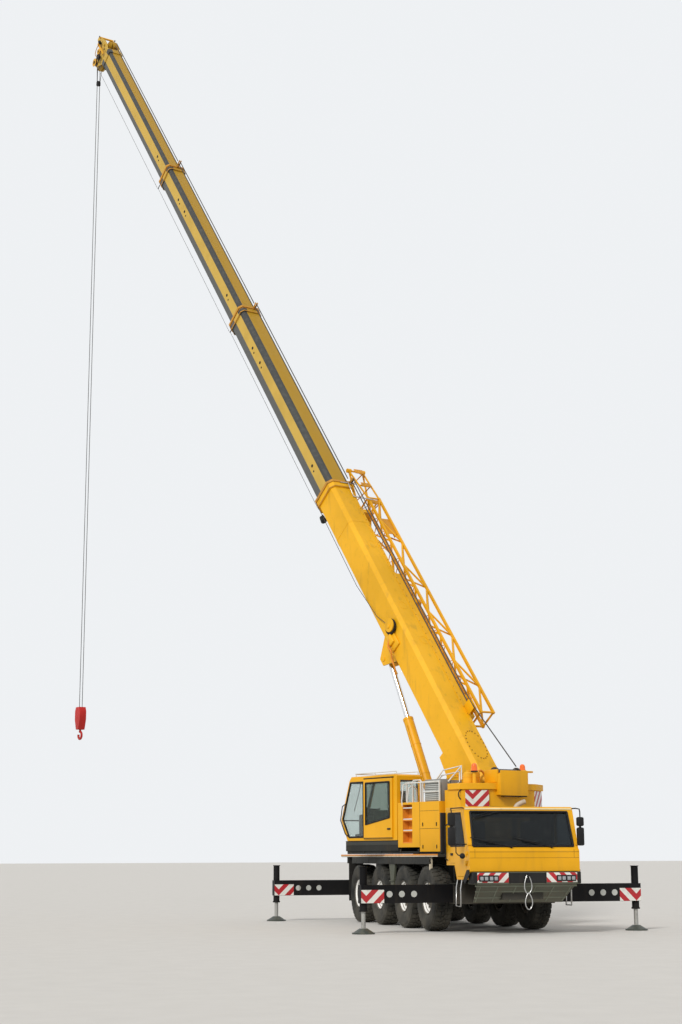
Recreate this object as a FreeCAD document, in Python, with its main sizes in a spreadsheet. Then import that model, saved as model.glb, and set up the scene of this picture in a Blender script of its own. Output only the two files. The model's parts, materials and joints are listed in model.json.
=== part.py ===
import FreeCAD, Part, Sketcher
import math
import os
import re
from FreeCAD import Placement, Rotation, Vector

# An all-terrain mobile crane: a four-axle carrier on its outriggers, and a
# superstructure with an operator's cab and a four-part telescopic boom.
# Millimetres. The carrier faces +X, its left side is +Y, the ground is Z = 0.
# Carrier pieces are drawn about the slew axis. The superstructure has its own
# frame, with +X towards the boom's tip and +Y to the boom's left, and the boom
# has another, with +X along the boom and its origin on the foot pin.

doc = FreeCAD.newDocument("MobileCrane")
sheet = doc.addObject("Spreadsheet::Sheet", "Sizes")

# Every driving size: name, value, what it is.
SIZES = [
    ("slew_x", 6931, "slew axis ahead of the frame's origin"),
    ("slew_y", 1590, "slew axis to the left of the frame's origin"),
    ("slew_angle", 198.1, "heading of the boom from the carrier's nose, degrees"),
    ("boom_angle", 52.4, "boom above the horizontal, degrees"),
    # Running clearances
    ("running_gap", 0.3, "radial clearance of pins, rods and bearings"),
    ("moving_gap", 6, "clearance beside a piece that moves"),
    # Wheels and steering
    ("axle_one", 2900, "first axle ahead of the slew axis"),
    ("axle_gap_one", 1650, "first to second axle"),
    ("axle_gap_two", 1850, "second to third axle"),
    ("axle_gap_three", 1750, "third to fourth axle"),
    ("wheel_radius", 700, "tyre's loaded radius"),
    ("wheel_track", 2280, "between the tyre centres of an axle"),
    ("tyre_width", 420, "tyre's width"),
    ("tyre_shoulder", 60, "tyre's rounded shoulder"),
    ("rim_radius", 355, "rim's outer radius at the bead"),
    ("rim_inner", 285, "inner radius of the rim's ring"),
    ("rim_dish", 120, "how far the wheel disc lies inside the outer face"),
    ("disc_thickness", 30, "wheel disc"),
    ("hub_radius", 130, "wheel hub"),
    ("kingpin_track", 2100, "between the kingpins of an axle"),
    ("kingpin_radius", 45, "kingpin"),
    ("kingpin_height", 340, "kingpin's length"),
    ("spindle_radius", 70, "stub axle in the hub"),
    ("axle_radius", 90, "axle tube"),
    ("axle_fork", 190, "height of the axle's end fork"),
    ("fork_width", 120, "axle's end fork, fore and aft"),
    ("fork_root", 200, "inner end of the fork inside the kingpin"),
    ("fork_throat", 120, "bottom of the fork's opening inside the kingpin"),
    ("fork_tip", 50, "outer end of the fork beyond the kingpin"),
    ("fork_lip", 20, "kingpin's ends beyond the fork"),
    ("spring_track", 750, "between the spring seats of an axle"),
    ("spring_width", 120, "spring seat"),
    # Chassis
    ("frame_width", 900, "chassis box"),
    ("frame_bottom", 800, "chassis underside"),
    ("frame_top", 1570, "chassis top, under the deck"),
    ("frame_front", 4250, "front end of the deep chassis"),
    ("frame_rear", 3740, "rear end behind the slew axis"),
    ("nose_length", 950, "low chassis nose under the cab"),
    ("nose_top", 1040, "top of the nose"),
    ("engine_bay_rear", 2150, "rear wall of the engine bay"),
    ("engine_bay_front", 3640, "front wall of the engine bay"),
    ("engine_bay_width", 660, "opening between the frame walls"),
    ("plate", 20, "thickness of box walls"),
    # Deck
    ("deck_width", 2660, "deck and mudguards"),
    ("deck_front", 3680, "front edge"),
    ("deck_rear", 3890, "rear edge behind the slew axis"),
    ("deck_thickness", 60, "deck plate"),
    ("valance_drop", 155, "side skirt below the deck"),
    ("valance_front", 3170, "side skirt's front end"),
    ("valance_rear", 2920, "side skirt's rear end"),
    ("skirt", 30, "side skirt's thickness"),
    ("ring_radius", 640, "fixed slewing ring"),
    ("ring_height", 130, "fixed ring above the chassis"),
    ("ring_flange", 50, "fixed ring's flange below the chassis top"),
    # Outriggers
    ("beam_width", 240, "outrigger beam, fore and aft"),
    ("beam_bottom", 625, "beam underside"),
    ("beam_height", 375, "beam"),
    ("beam_reach", 3130, "beam's end from the centre line"),
    ("beam_length", 2500, "beam"),
    ("front_beam_right", 3860, "centre of the front right beam"),
    ("beam_stagger", 260, "left beam ahead of the right one"),
    ("rear_beam_right", 3860, "centre of the rear right beam, behind the axis"),
    ("beam_box_reach", 1100, "end of the outrigger box"),
    ("jack_inset", 80, "jack's axis inside the beam's end"),
    ("jack_radius", 78, "jack's outer tube"),
    ("jack_bottom", 470, "lower end of the tube"),
    ("jack_top", 1360, "upper end of the tube"),
    ("leg_radius", 46, "jack's leg"),
    ("leg_top", 960, "leg's upper end"),
    ("jack_travel", 340, "how far the leg rises"),
    ("pad_radius", 240, "float pad"),
    ("pad_height", 120, "float pad"),
    # Driver's cab
    ("cab_width", 2440, "cab"),
    ("cab_rear", 3950, "rear wall"),
    ("cab_nose", 5360, "front panel"),
    ("cab_sill", 1740, "windscreen's lower edge, height"),
    ("cab_sill_front", 5310, "windscreen's lower edge"),
    ("cab_brow", 2540, "windscreen's upper edge, height"),
    ("cab_brow_front", 5050, "windscreen's upper edge"),
    ("cab_roof", 2600, "roof"),
    ("cab_roof_front", 4980, "front edge of the flat roof"),
    ("cab_chin", 1280, "lower edge of the front panel"),
    ("cab_step", 1400, "underside behind the door"),
    ("cab_foot", 1110, "underside of the footwell"),
    ("cab_wall", 50, "walls and doors"),
    ("door_rear", 4150, "rear edge of the door opening"),
    ("door_front", 5190, "front edge of the door opening"),
    ("door_top", 2540, "upper edge of the door opening"),
    ("hinge_barrel", 14, "door hinge knuckle"),
    ("hinge_pin", 8, "door hinge pin"),
    ("hinge_height", 50, "door hinge knuckle"),
    ("window_sill", 1800, "lower edge of the side window"),
    ("frame_strip", 75, "door frame round its window"),
    ("glass", 8, "window glass"),
    ("screen_margin", 110, "pillar beside the windscreen"),
    ("screen_edge", 50, "frame above and below the windscreen"),
    ("bumper_front", 5480, "front face of the bumper"),
    ("bumper_depth", 330, "bumper"),
    ("bumper_top", 1265, "upper edge"),
    ("bumper_split", 1020, "lower edge of the upper bar"),
    ("bumper_bottom", 640, "lower edge of the skirt"),
    ("skirt_back", 560, "how far the skirt slants back at its lower edge"),
    ("skirt_taper", 100, "how far each end of the skirt comes in at its lower edge"),
    ("skirt_plate", 40, "skirt, measured along the carrier"),
    ("rear_window", 1400, "rear window's width"),
    ("mirror_left", 1500, "centre of the left mirror from the centre line"),
    ("mirror_right", 1340, "centre of the right mirror from the centre line"),
    ("mirror_front", 5330, "mirror ahead of the slew axis"),
    ("mirror_width", 170, "mirror housing"),
    ("mirror_height", 620, "mirror housing"),
    ("mirror_bottom", 1770, "mirror housing's lower end"),
    ("mirror_round", 35, "mirror housing's rounded edges"),
    ("arm", 30, "mirror arm and rails"),
    ("cab_seat_width", 480, "driver's seat"),
    # Superstructure, in its own frame
    ("table_top", 1880, "top of the revolving frame"),
    ("table_front", 1000, "front end of the revolving frame"),
    ("table_rear", 2400, "rear end behind the slew axis"),
    ("table_width", 1160, "revolving frame"),
    ("platform_side", 1300, "side of the operator's platform"),
    ("platform_inner", 560, "inner side of the operator's platform"),
    ("platform_front", 2060, "front end of the operator's platform"),
    ("platform_skirt", 170, "platform's side skirt below the revolving frame's top"),
    ("cheek_gap", 840, "between the boom's cheek plates"),
    ("cheek_plate", 60, "cheek plate"),
    ("pivot_back", 1099, "foot pin behind the slew axis"),
    ("pivot_height", 3193, "foot pin above the ground"),
    ("pivot_radius", 70, "foot pin"),
    ("housing_top", 2810, "top of the side cabinets"),
    ("housing_chamfer", 60, "chamfered upper edges of the right housing"),
    ("cabinet_rear", 1710, "rear end of the rear cabinet"),
    ("cabinet_split", 960, "between the two cabinets"),
    ("cabinet_front", 110, "front end of the ladder cabinet"),
    ("ladder_rear", 670, "ladder recess, rear side"),
    ("ladder_front", 300, "ladder recess, front side"),
    ("ladder_depth", 180, "ladder recess"),
    ("rear_cabinet_bottom", 1690, "underside of the rear cabinet"),
    ("ladder_cabinet_bottom", 1790, "underside of the ladder cabinet"),
    ("tail_rear", 2670, "rear face of the tail"),
    ("tail_flat", 690, "half width of the rear face"),
    ("tail_corner", 2350, "where the tail's side starts"),
    ("tail_side", 1180, "half width of the tail"),
    ("tail_front", 1760, "front end of the tail's sides"),
    ("tail_slot", 520, "half width of the slot for the boom's foot"),
    ("tail_slot_rear", 2180, "rear wall of the slot"),
    ("tail_drop", 143, "top of the ballast below the foot pin"),
    ("tail_cap", 140, "plate on top of the tail"),
    # Winch
    ("winch_back", 2500, "drum's axis behind the slew axis"),
    ("winch_rise", 300, "drum's axis above the top of the ballast"),
    ("winch_radius", 170, "rope layers on the drum"),
    ("flange_radius", 210, "drum flange"),
    ("drum_shaft", 60, "drum's shaft"),
    ("winch_seat", 130, "winch box let into the ballast"),
    ("winch_width", 760, "winch box"),
    ("winch_cover", 70, "winch box above the drum's axis"),
    # Operator's cab
    ("op_rear", 90, "rear wall behind the slew axis"),
    ("op_floor", 1950, "underside"),
    ("op_front", 1980, "front end of the floor"),
    ("op_waist_front", 2250, "foremost line"),
    ("op_waist", 2450, "height of the foremost line"),
    ("op_brow_front", 1890, "top of the front window"),
    ("op_brow", 3380, "height of the front window's top"),
    ("op_roof", 3480, "roof"),
    ("op_roof_front", 1800, "front edge of the roof"),
    ("op_inner", 560, "inner side from the boom's plane"),
    ("op_outer", 1310, "outer side from the boom's plane"),
    ("op_wall", 40, "walls"),
    ("op_door_rear", 60, "rear edge of the door"),
    ("op_door_front", 1230, "front edge of the door"),
    ("op_door_bottom", 2000, "lower edge of the door"),
    ("op_door_top", 3400, "upper edge of the door"),
    # Boom, in its own frame
    ("boom_axis", 400, "boom's centre line above the foot pin"),
    ("boom_width", 720, "base section"),
    ("boom_depth", 920, "base section"),
    ("boom_bevel", 90, "upper bevels of the base section"),
    ("boom_chine", 170, "lower bevels of the base section"),
    ("boom_wall", 24, "section walls"),
    ("section_step", 40, "each section inside the one before, per side"),
    ("foot_back", 560, "rear end behind the foot pin"),
    ("base_tip", 9800, "end of the base section"),
    ("section_pitch", 7960, "from one section's end to the next"),
    ("section_overlap", 1600, "tube left in the section before"),
    ("collar_length", 250, "collar"),
    ("collar_lip", 32, "collar's height over the tube"),
    ("slider_length", 140, "wear pads round each section's rear end"),
    ("head_length", 1150, "boom head beyond the last tube"),
    ("head_horn", 150, "depth of the head's horn at its end"),
    ("head_plate", 30, "cheek plate of the boom head"),
    ("head_drop", 530, "lower sheave's axis below the last tube's axis line"),
    ("sheave_radius", 250, "lower head sheave"),
    ("guide_radius", 160, "upper guide sheave"),
    ("sheave_width", 60, "sheave"),
    ("head_pin_back", 650, "lower sheave's axis behind the head's end"),
    ("head_pin_radius", 45, "head pins"),
    ("head_pin_end", 60, "head pins outside the cheeks"),
    ("lug_gap", 300, "between the cylinder's lugs"),
    ("lug_plate", 45, "cylinder lug"),
    ("eye_along", 4450, "cylinder's upper pin along the boom"),
    ("eye_drop", 840, "cylinder's upper pin below the boom's centre line"),
    # Luffing cylinder
    ("foot_eye_back", 187, "lower pin behind the slew axis"),
    ("foot_eye_height", 1990, "lower pin above the ground"),
    ("barrel_radius", 124, "barrel"),
    ("barrel_length", 3250, "lower pin to the barrel's end"),
    ("rod_radius", 74, "rod"),
    ("eye_radius", 85, "rod's eye"),
    ("eye_width", 250, "cylinder's eyes"),
    ("piston_back", 900, "piston behind the barrel's end"),
    # Hook
    ("rope_radius", 11, "hoist rope"),
    ("rope_spread", 100, "between the two falls"),
    ("block_top", 6600, "top of the hook block above the ground"),
    ("block_height", 760, "hook block"),
    ("block_width", 240, "hook block across"),
    ("block_length", 380, "hook block along the boom's direction"),
    ("hook_bowl", 85, "inner radius of the hook's bowl"),
    ("hook_wire", 38, "half thickness of the hook"),
    # Stowed jib
    ("jib_rear", 1550, "rear end along the boom"),
    ("jib_front", 9300, "front end along the boom"),
    ("jib_inner", 680, "near chords from the boom's plane"),
    ("jib_outer", 1050, "far chords from the boom's plane"),
    ("jib_low", 350, "lower chords, boom frame"),
    ("jib_high", 860, "upper chords, boom frame"),
    ("jib_chord", 60, "chord section"),
    ("jib_brace", 36, "brace section"),
    ("fork_reach", 1200, "jib's fork beyond its chords"),
    ("fork_spread", 40, "how far the fork's tips stand outside the chords"),
    ("fork_drop", 120, "fork's tips below the upper chords"),
    ("rail_rear", 1500, "rear end of the jib's carrying rail along the boom"),
    ("rail_front", 6400, "front end of the rail"),
    ("rail_width", 150, "rail outside the boom's side"),
    ("rail_depth", 230, "rail below the boom's upper bevel"),
]
SIDES = (("left", 1), ("right", -1))

for row, (alias, value, note) in enumerate(SIZES, 1):
    sheet.set(f"A{row}", note)
    sheet.set(f"B{row}", str(value))
    sheet.setAlias(f"B{row}", alias)
doc.recompute()
NAMES = {alias for alias, value, note in SIZES}


def size(alias):
    """A size from the sheet, as a number."""
    return float(sheet.get(alias))


def formula(text):
    """A formula over size names, as an expression that reads the sheet."""
    text = str(text)
    return re.sub(r"[a-z][a-z_]*", lambda word: "Sizes." + word.group() if word.group() in NAMES else word.group(), text)


def amount(text):
    """The number that a formula over size names gives."""
    got = sheet.evalExpression(formula(text))
    return float(getattr(got, "Value", got))


def bind(thing, **formulas):
    """Tie properties to formulas. A double underscore stands for a dot."""
    for name, text in formulas.items():
        thing.setExpression(name.replace("__", "."), formula(text))


def place(thing, x, y, z):
    """Tie an object's position to three formulas."""
    for axis, text in zip("xyz", (x, y, z)):
        thing.setExpression(f"Placement.Base.{axis}", formula(text))


def box(name, x, y, z):
    """A box between two formulas on each axis."""
    made = doc.addObject("Part::Box", name)
    for prop, (low, high) in zip(("Length", "Width", "Height"), (x, y, z)):
        made.setExpression(prop, formula(f"({high}) - ({low})"))
    place(made, x[0], y[0], z[0])
    return made


TURNS = {"x": Rotation(Vector(0, 1, 0), 90), "y": Rotation(Vector(1, 0, 0), -90), "z": Rotation()}


def rod(name, axis, start, radius, length):
    """A cylinder from a point along an axis."""
    made = doc.addObject("Part::Cylinder", name)
    made.Placement = Placement(Vector(), TURNS[axis])
    bind(made, Radius=radius, Height=length)
    place(made, *start)
    return made


def cone(name, start, radius_low, radius_high, height):
    """An upright cone."""
    made = doc.addObject("Part::Cone", name)
    bind(made, Radius1=radius_low, Radius2=radius_high, Height=height)
    place(made, *start)
    return made


def fuse(name, things):
    """Several objects as one solid."""
    made = doc.addObject("Part::MultiFuse", name)
    made.Shapes = things
    return made


def cut(name, base, tools):
    """One object less others."""
    made = doc.addObject("Part::Cut", name)
    made.Base = base
    made.Tool = tools[0] if len(tools) == 1 else fuse(name + "_tools", tools)
    return made


def common(name, one, other):
    """What two objects share."""
    made = doc.addObject("Part::Common", name)
    made.Base = one
    made.Tool = other
    return made


PLANES = {"xy": ("XY_Plane", 1), "xz": ("XZ_Plane", -1), "yz": ("YZ_Plane", 1)}


def outline(body, name, plane, points, offset):
    """A closed sketch of straight lines on one of the body's planes, its corners tied to formulas."""
    role, sense = PLANES[plane]
    sketch = body.newObject("Sketcher::SketchObject", name)
    sketch.AttachmentSupport = [([one for one in body.Origin.OriginFeatures if one.Role == role][0], "")]
    sketch.MapMode = "FlatFace"
    sketch.setExpression("AttachmentOffset.Base.z", formula(f"{sense} * ({offset})"))
    spots = [Vector(amount(across), amount(up), 0) for across, up in points]
    count = len(spots)
    for index in range(count):
        sketch.addGeometry(Part.LineSegment(spots[index], spots[(index + 1) % count]), False)
    for index in range(count):
        sketch.addConstraint(Sketcher.Constraint("Coincident", index, 2, (index + 1) % count, 1))
    for index, (across, up) in enumerate(points):
        for kind, text in (("DistanceX", across), ("DistanceY", up)):
            number = sketch.addConstraint(Sketcher.Constraint(kind, -1, 1, index, 1, amount(text)))
            sketch.setExpression(f"Constraints[{number}]", formula(text))
    return sketch


def panel(name, plane, points, low, high):
    """A straight-sided outline padded between two heights along the plane's normal."""
    body = doc.addObject("PartDesign::Body", name)
    start = low if PLANES[plane][1] > 0 else high
    sketch = outline(body, name + "_outline", plane, points, start)
    pad = body.newObject("PartDesign::Pad", name + "_pad")
    pad.Profile = sketch
    pad.setExpression("Length", formula(f"({high}) - ({low})"))
    return body


def turned(name, points, centre, across):
    """A profile of (radius, place along Y) points turned round a line parallel to Y."""
    body = doc.addObject("PartDesign::Body", name)
    sketch = outline(body, name + "_outline", "xy", points, "0")
    turn = body.newObject("PartDesign::Revolution", name + "_turn")
    turn.Profile = sketch
    turn.ReferenceAxis = (sketch, ["V_Axis"])
    turn.Angle = 360
    place(body, centre[0], across, centre[1])
    return body


def mirrored(name, thing):
    """The same object on the other side of the XZ plane."""
    made = doc.addObject("Part::Mirroring", name)
    made.Source = thing
    made.Normal = Vector(0, 1, 0)
    return made


CARRIER = Placement(Vector(size("slew_x"), size("slew_y"), 0), Rotation())
UPPER = CARRIER.multiply(Placement(Vector(), Rotation(Vector(0, 0, 1), size("slew_angle"))))
BOOM = UPPER.multiply(
    Placement(
        Vector(-size("pivot_back"), 0, size("pivot_height")),
        Rotation(Vector(0, 1, 0), -size("boom_angle")),
    )
)
nodes = {}


def node(label, things, frame):
    """A named sub-part: its solids, set into the part's own frame."""
    made = doc.addObject("Part::Compound", label)
    made.Links = things
    made.Label = label
    made.Placement = frame
    nodes[label] = made
    return made


# Wheels, steering knuckles and axles
AXLES = [
    ("1", "axle_one"),
    ("2", "axle_one - axle_gap_one"),
    ("3", "axle_one - axle_gap_one - axle_gap_two"),
    ("4", "axle_one - axle_gap_one - axle_gap_two - axle_gap_three"),
]


def wheel(number, along, side, sign):
    """A tyre and its rim. The profile's second value runs from the tyre's middle to the outer face."""
    tag = f"{number}_{side}"
    edge = f"{sign} * tyre_width / 2"
    inner = f"-({edge})"
    outer_face = f"{sign} * (tyre_width / 2 - 20)"
    centre = (along, "wheel_radius")
    middle = f"{sign} * wheel_track / 2"
    bead = f"{sign} * (tyre_width / 2 - 45)"
    tyre = turned(
        "tyre_form_" + tag,
        [
            ("rim_radius + running_gap", f"-({bead})"),
            ("rim_radius + 90", inner),
            ("wheel_radius - 1.6 * tyre_shoulder", inner),
            ("wheel_radius - 0.4 * tyre_shoulder", f"-{sign} * (tyre_width / 2 - 0.35 * tyre_shoulder)"),
            ("wheel_radius", f"-{sign} * (tyre_width / 2 - tyre_shoulder)"),
            ("wheel_radius", f"{sign} * (tyre_width / 2 - tyre_shoulder)"),
            ("wheel_radius - 0.4 * tyre_shoulder", f"{sign} * (tyre_width / 2 - 0.35 * tyre_shoulder)"),
            ("wheel_radius - 1.6 * tyre_shoulder", edge),
            ("rim_radius + 90", edge),
            ("rim_radius + running_gap", bead),
        ],
        centre,
        middle,
    )
    node("tyre_" + tag, [tyre], CARRIER)
    disc = f"{sign} * (tyre_width / 2 - rim_dish)"
    disc_back = f"{sign} * (tyre_width / 2 - rim_dish - disc_thickness)"
    rim = turned(
        "rim_form_" + tag,
        [
            ("0", disc_back),
            ("hub_radius", disc_back),
            ("rim_inner", disc_back),
            ("rim_inner", f"-({bead})"),
            ("rim_radius", f"-({bead})"),
            ("rim_radius", outer_face),
            ("rim_inner", f"{sign} * (tyre_width / 2 - 60)"),
            ("rim_inner - 40", disc),
            ("hub_radius", disc),
            ("hub_radius - 20", f"{sign} * (tyre_width / 2 - 40)"),
            ("0", f"{sign} * (tyre_width / 2 - 40)"),
        ],
        centre,
        middle,
    )
    node("rim_" + tag, [rim], CARRIER)


def knuckle(number, along, side, sign):
    """The kingpin with its boss, and the stub axle that meets the wheel's disc."""
    tag = f"{number}_{side}"
    disc_back = "wheel_track / 2 + tyre_width / 2 - rim_dish - disc_thickness - running_gap"
    kingpin = rod(
        "kingpin_" + tag,
        "z",
        (along, f"{sign} * kingpin_track / 2", "wheel_radius - kingpin_height / 2"),
        "kingpin_radius",
        "kingpin_height",
    )
    boss = rod(
        "boss_" + tag,
        "z",
        (along, f"{sign} * kingpin_track / 2", "wheel_radius - axle_fork / 2 + moving_gap"),
        "kingpin_radius + 45",
        "axle_fork - 2 * moving_gap",
    )
    low = "kingpin_track / 2" if sign > 0 else f"-({disc_back})"
    stub = rod(
        "stub_" + tag,
        "y",
        (along, low, "wheel_radius"),
        "spindle_radius",
        f"({disc_back}) - kingpin_track / 2",
    )
    node("knuckle_" + tag, [fuse("knuckle_form_" + tag, [kingpin, boss, stub])], CARRIER)


def axle(number, along):
    """The axle tube with a forked end for each kingpin boss."""
    tube = rod(
        "axle_tube_" + number,
        "y",
        (along, "-(kingpin_track / 2 - fork_throat - 30)", "wheel_radius"),
        "axle_radius",
        "kingpin_track - 2 * (fork_throat + 30)",
    )
    parts = [tube]
    pair = "kingpin_height / 2"
    for side, sign in SIDES:
        inner, outer = ("kingpin_track / 2 - fork_root", "kingpin_track / 2 + fork_tip")
        across = (inner, outer) if sign > 0 else (f"-({outer})", f"-({inner})")
        end = box(
            f"fork_{number}_{side}",
            (f"{along} - fork_width / 2", f"{along} + fork_width / 2"),
            across,
            (f"wheel_radius - {pair} + fork_lip", f"wheel_radius + {pair} - fork_lip"),
        )
        room = box(
            f"fork_room_{number}_{side}",
            (f"{along} - fork_width / 2 - 1", f"{along} + fork_width / 2 + 1"),
            ("kingpin_track / 2 - fork_throat", "kingpin_track / 2 + fork_tip + 10")
            if sign > 0
            else ("-(kingpin_track / 2 + fork_tip + 10)", "-(kingpin_track / 2 - fork_throat)"),
            ("wheel_radius - axle_fork / 2", "wheel_radius + axle_fork / 2"),
        )
        hole = rod(
            f"fork_bore_{number}_{side}",
            "z",
            (along, f"{sign} * kingpin_track / 2", f"wheel_radius - {pair}"),
            "kingpin_radius + running_gap",
            "kingpin_height",
        )
        parts.append(cut(f"fork_form_{number}_{side}", end, [room, hole]))
    for side, sign in SIDES:
        parts.append(
            box(
                f"spring_seat_{number}_{side}",
                (f"{along} - axle_radius + 20", f"{along} + axle_radius - 20"),
                (f"{sign} * spring_track / 2 - spring_width / 2", f"{sign} * spring_track / 2 + spring_width / 2"),
                ("wheel_radius", "frame_bottom"),
            )
        )
    return fuse("axle_form_" + number, parts)


axle_forms = []
for number, along in AXLES:
    axle_forms.append(axle(number, along))
    for side, sign in SIDES:
        wheel(number, along, side, sign)
        knuckle(number, along, side, sign)
node("axles", axle_forms, CARRIER)

# Chassis with its outrigger boxes
BEAMS = [
    ("front_right", "front_beam_right", -1),
    ("front_left", "front_beam_right + beam_stagger", 1),
    ("rear_right", "-rear_beam_right", -1),
    ("rear_left", "-rear_beam_right + beam_stagger", 1),
]


def outrigger_box(name, centre):
    """The cross tube that one pair of beams slides in, less its two channels."""
    outer = box(
        name + "_outer",
        (f"{centre} - beam_width / 2 - moving_gap - plate", f"{centre} + beam_stagger + beam_width / 2 + moving_gap + plate"),
        ("-beam_box_reach", "beam_box_reach"),
        ("beam_bottom - moving_gap - plate", "beam_bottom + beam_height + moving_gap + plate"),
    )
    channels = []
    for number, shift in (("one", "0"), ("two", "beam_stagger")):
        channels.append(
            box(
                f"{name}_channel_{number}",
                (f"{centre} + {shift} - beam_width / 2 - moving_gap", f"{centre} + {shift} + beam_width / 2 + moving_gap"),
                ("-beam_box_reach - 300", "beam_box_reach + 300"),
                ("beam_bottom - running_gap", "beam_bottom + beam_height + moving_gap"),
            )
        )
    return outer, channels


front_box, front_channels = outrigger_box("front_box", "front_beam_right")
rear_box, rear_channels = outrigger_box("rear_box", "-rear_beam_right")
frame_body = box("frame_body", ("-frame_rear", "frame_front"), ("-frame_width / 2", "frame_width / 2"), ("frame_bottom", "frame_top"))
frame_cab_room = box(
    "frame_cab_room",
    ("deck_front", "frame_front + 10"),
    ("-frame_width / 2 - 5", "frame_width / 2 + 5"),
    ("cab_step", "frame_top + 5"),
)
frame_nose = box(
    "frame_nose",
    ("frame_front - 50", "frame_front + nose_length"),
    ("-frame_width / 2", "frame_width / 2"),
    ("frame_bottom - 90", "nose_top"),
)
engine_bay = box(
    "engine_bay",
    ("engine_bay_rear", "engine_bay_front"),
    ("-engine_bay_width / 2", "engine_bay_width / 2"),
    ("frame_bottom - 5", "frame_top + 5"),
)
fixed_ring = rod("fixed_ring", "z", ("0", "0", "frame_top - ring_flange"), "ring_radius", "ring_height + ring_flange")
chassis = cut(
    "chassis_form",
    fuse("chassis_blocks", [frame_body, frame_nose, front_box, rear_box, fixed_ring]),
    [engine_bay, frame_cab_room] + front_channels + rear_channels,
)
node("chassis_frame", [chassis], CARRIER)
engine = box(
    "engine_block",
    ("engine_bay_rear + 90", "engine_bay_front - 90"),
    ("-engine_bay_width / 2 + running_gap", "engine_bay_width / 2 - running_gap"),
    ("frame_bottom + 60", "frame_top - 30"),
)
node("engine", [engine], CARRIER)

# Deck with its side skirts and cross walls between the wheels
deck_plate = box("deck_plate", ("-deck_rear", "deck_front"), ("-deck_width / 2", "deck_width / 2"), ("frame_top", "frame_top + deck_thickness"))
deck_hole = rod(
    "deck_hole",
    "z",
    ("0", "0", "frame_top - ring_flange - moving_gap"),
    "ring_radius + moving_gap",
    "deck_thickness + ring_flange + 2 * moving_gap",
)
deck_parts = [deck_plate]
for side, sign in SIDES:
    across = ("deck_width / 2 - skirt", "deck_width / 2") if sign > 0 else ("-deck_width / 2", "-deck_width / 2 + skirt")
    deck_parts.append(box("valance_" + side, ("-valance_rear", "valance_front"), across, ("frame_top - valance_drop", "frame_top + 1")))
WALLS = [
    ("one", "axle_one - axle_gap_one / 2"),
    ("two", "axle_one - axle_gap_one - axle_gap_two / 2"),
    ("three", "axle_one - axle_gap_one - axle_gap_two - axle_gap_three / 2"),
    ("rear", "-deck_rear + 500"),
]
for number, along in WALLS:
    for side, sign in SIDES:
        inner, outer = ("frame_width / 2 + running_gap", "deck_width / 2 - skirt / 2")
        across = (inner, outer) if sign > 0 else (f"-({outer})", f"-({inner})")
        deck_parts.append(
            box(
                f"cross_wall_{number}_{side}",
                (f"{along} - 15", f"{along} + 15"),
                across,
                ("frame_top - valance_drop", "frame_top + 1"),
            )
        )
deck = cut("deck_form", fuse("deck_blocks", deck_parts), [deck_hole])
node("deck", [deck], CARRIER)

# Outrigger beams and jacks
for name, centre, sign in BEAMS:
    across = (
        ("beam_reach - beam_length", "beam_reach")
        if sign > 0
        else ("-beam_reach", "beam_length - beam_reach")
    )
    bar = box("beam_bar_" + name, (f"{centre} - beam_width / 2", f"{centre} + beam_width / 2"), across, ("beam_bottom", "beam_bottom + beam_height"))
    jack_at = f"{sign} * (beam_reach - jack_inset)"
    tube = rod("jack_tube_" + name, "z", (centre, jack_at, "jack_bottom"), "jack_radius", "jack_top - jack_bottom")
    bore = rod("jack_bore_" + name, "z", (centre, jack_at, "jack_bottom - 10"), "leg_radius + running_gap", "leg_top + jack_travel + 30 - jack_bottom")
    beam = cut("beam_form_" + name, fuse("beam_blocks_" + name, [bar, tube]), [bore])
    node("outrigger_beam_" + name, [beam], CARRIER)
    leg = rod("leg_" + name, "z", (centre, jack_at, "pad_height / 2"), "leg_radius", "leg_top - pad_height / 2")
    rim_plate = rod("pad_plate_" + name, "z", (centre, jack_at, "0"), "pad_radius", "pad_height / 4")
    dome = cone("pad_dome_" + name, (centre, jack_at, "pad_height / 4"), "pad_radius - 20", "leg_radius + 30", "pad_height * 3 / 4")
    node("jack_" + name, [fuse("jack_form_" + name, [leg, rim_plate, dome])], CARRIER)

# Driver's cab
CAB_OUTER = [
    ("cab_rear", "cab_step"),
    ("cab_rear", "cab_roof"),
    ("cab_roof_front", "cab_roof"),
    ("cab_brow_front", "cab_brow"),
    ("cab_sill_front", "cab_sill"),
    ("cab_nose", "cab_sill - 40"),
    ("cab_nose", "cab_chin"),
    ("cab_nose - 240", "cab_foot"),
    ("door_rear + 430", "cab_foot"),
    ("door_rear + 290", "cab_step"),
]
CAB_INNER = [
    ("cab_rear + cab_wall", "cab_step + cab_wall"),
    ("cab_rear + cab_wall", "cab_roof - cab_wall"),
    ("cab_roof_front - cab_wall / 2", "cab_roof - cab_wall"),
    ("cab_brow_front - cab_wall", "cab_brow - cab_wall / 2"),
    ("cab_sill_front - cab_wall", "cab_sill"),
    ("cab_nose - cab_wall", "cab_sill - 60"),
    ("cab_nose - cab_wall", "cab_chin + cab_wall / 2"),
    ("cab_nose - 240 - cab_wall / 2", "cab_foot + cab_wall"),
    ("door_rear + 430 + cab_wall / 2", "cab_foot + cab_wall"),
    ("door_rear + 290 + cab_wall / 2", "cab_step + cab_wall"),
]
DOOR = [
    ("door_rear", "cab_step + cab_wall - 10"),
    ("door_rear", "door_top"),
    ("cab_brow_front - 120", "door_top"),
    ("door_front", "cab_sill"),
    ("door_front", "cab_chin + 50"),
    ("door_front - 150", "cab_foot + 60"),
    ("door_rear + 460", "cab_foot + 60"),
    ("door_rear + 330", "cab_step + cab_wall - 10"),
]
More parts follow.
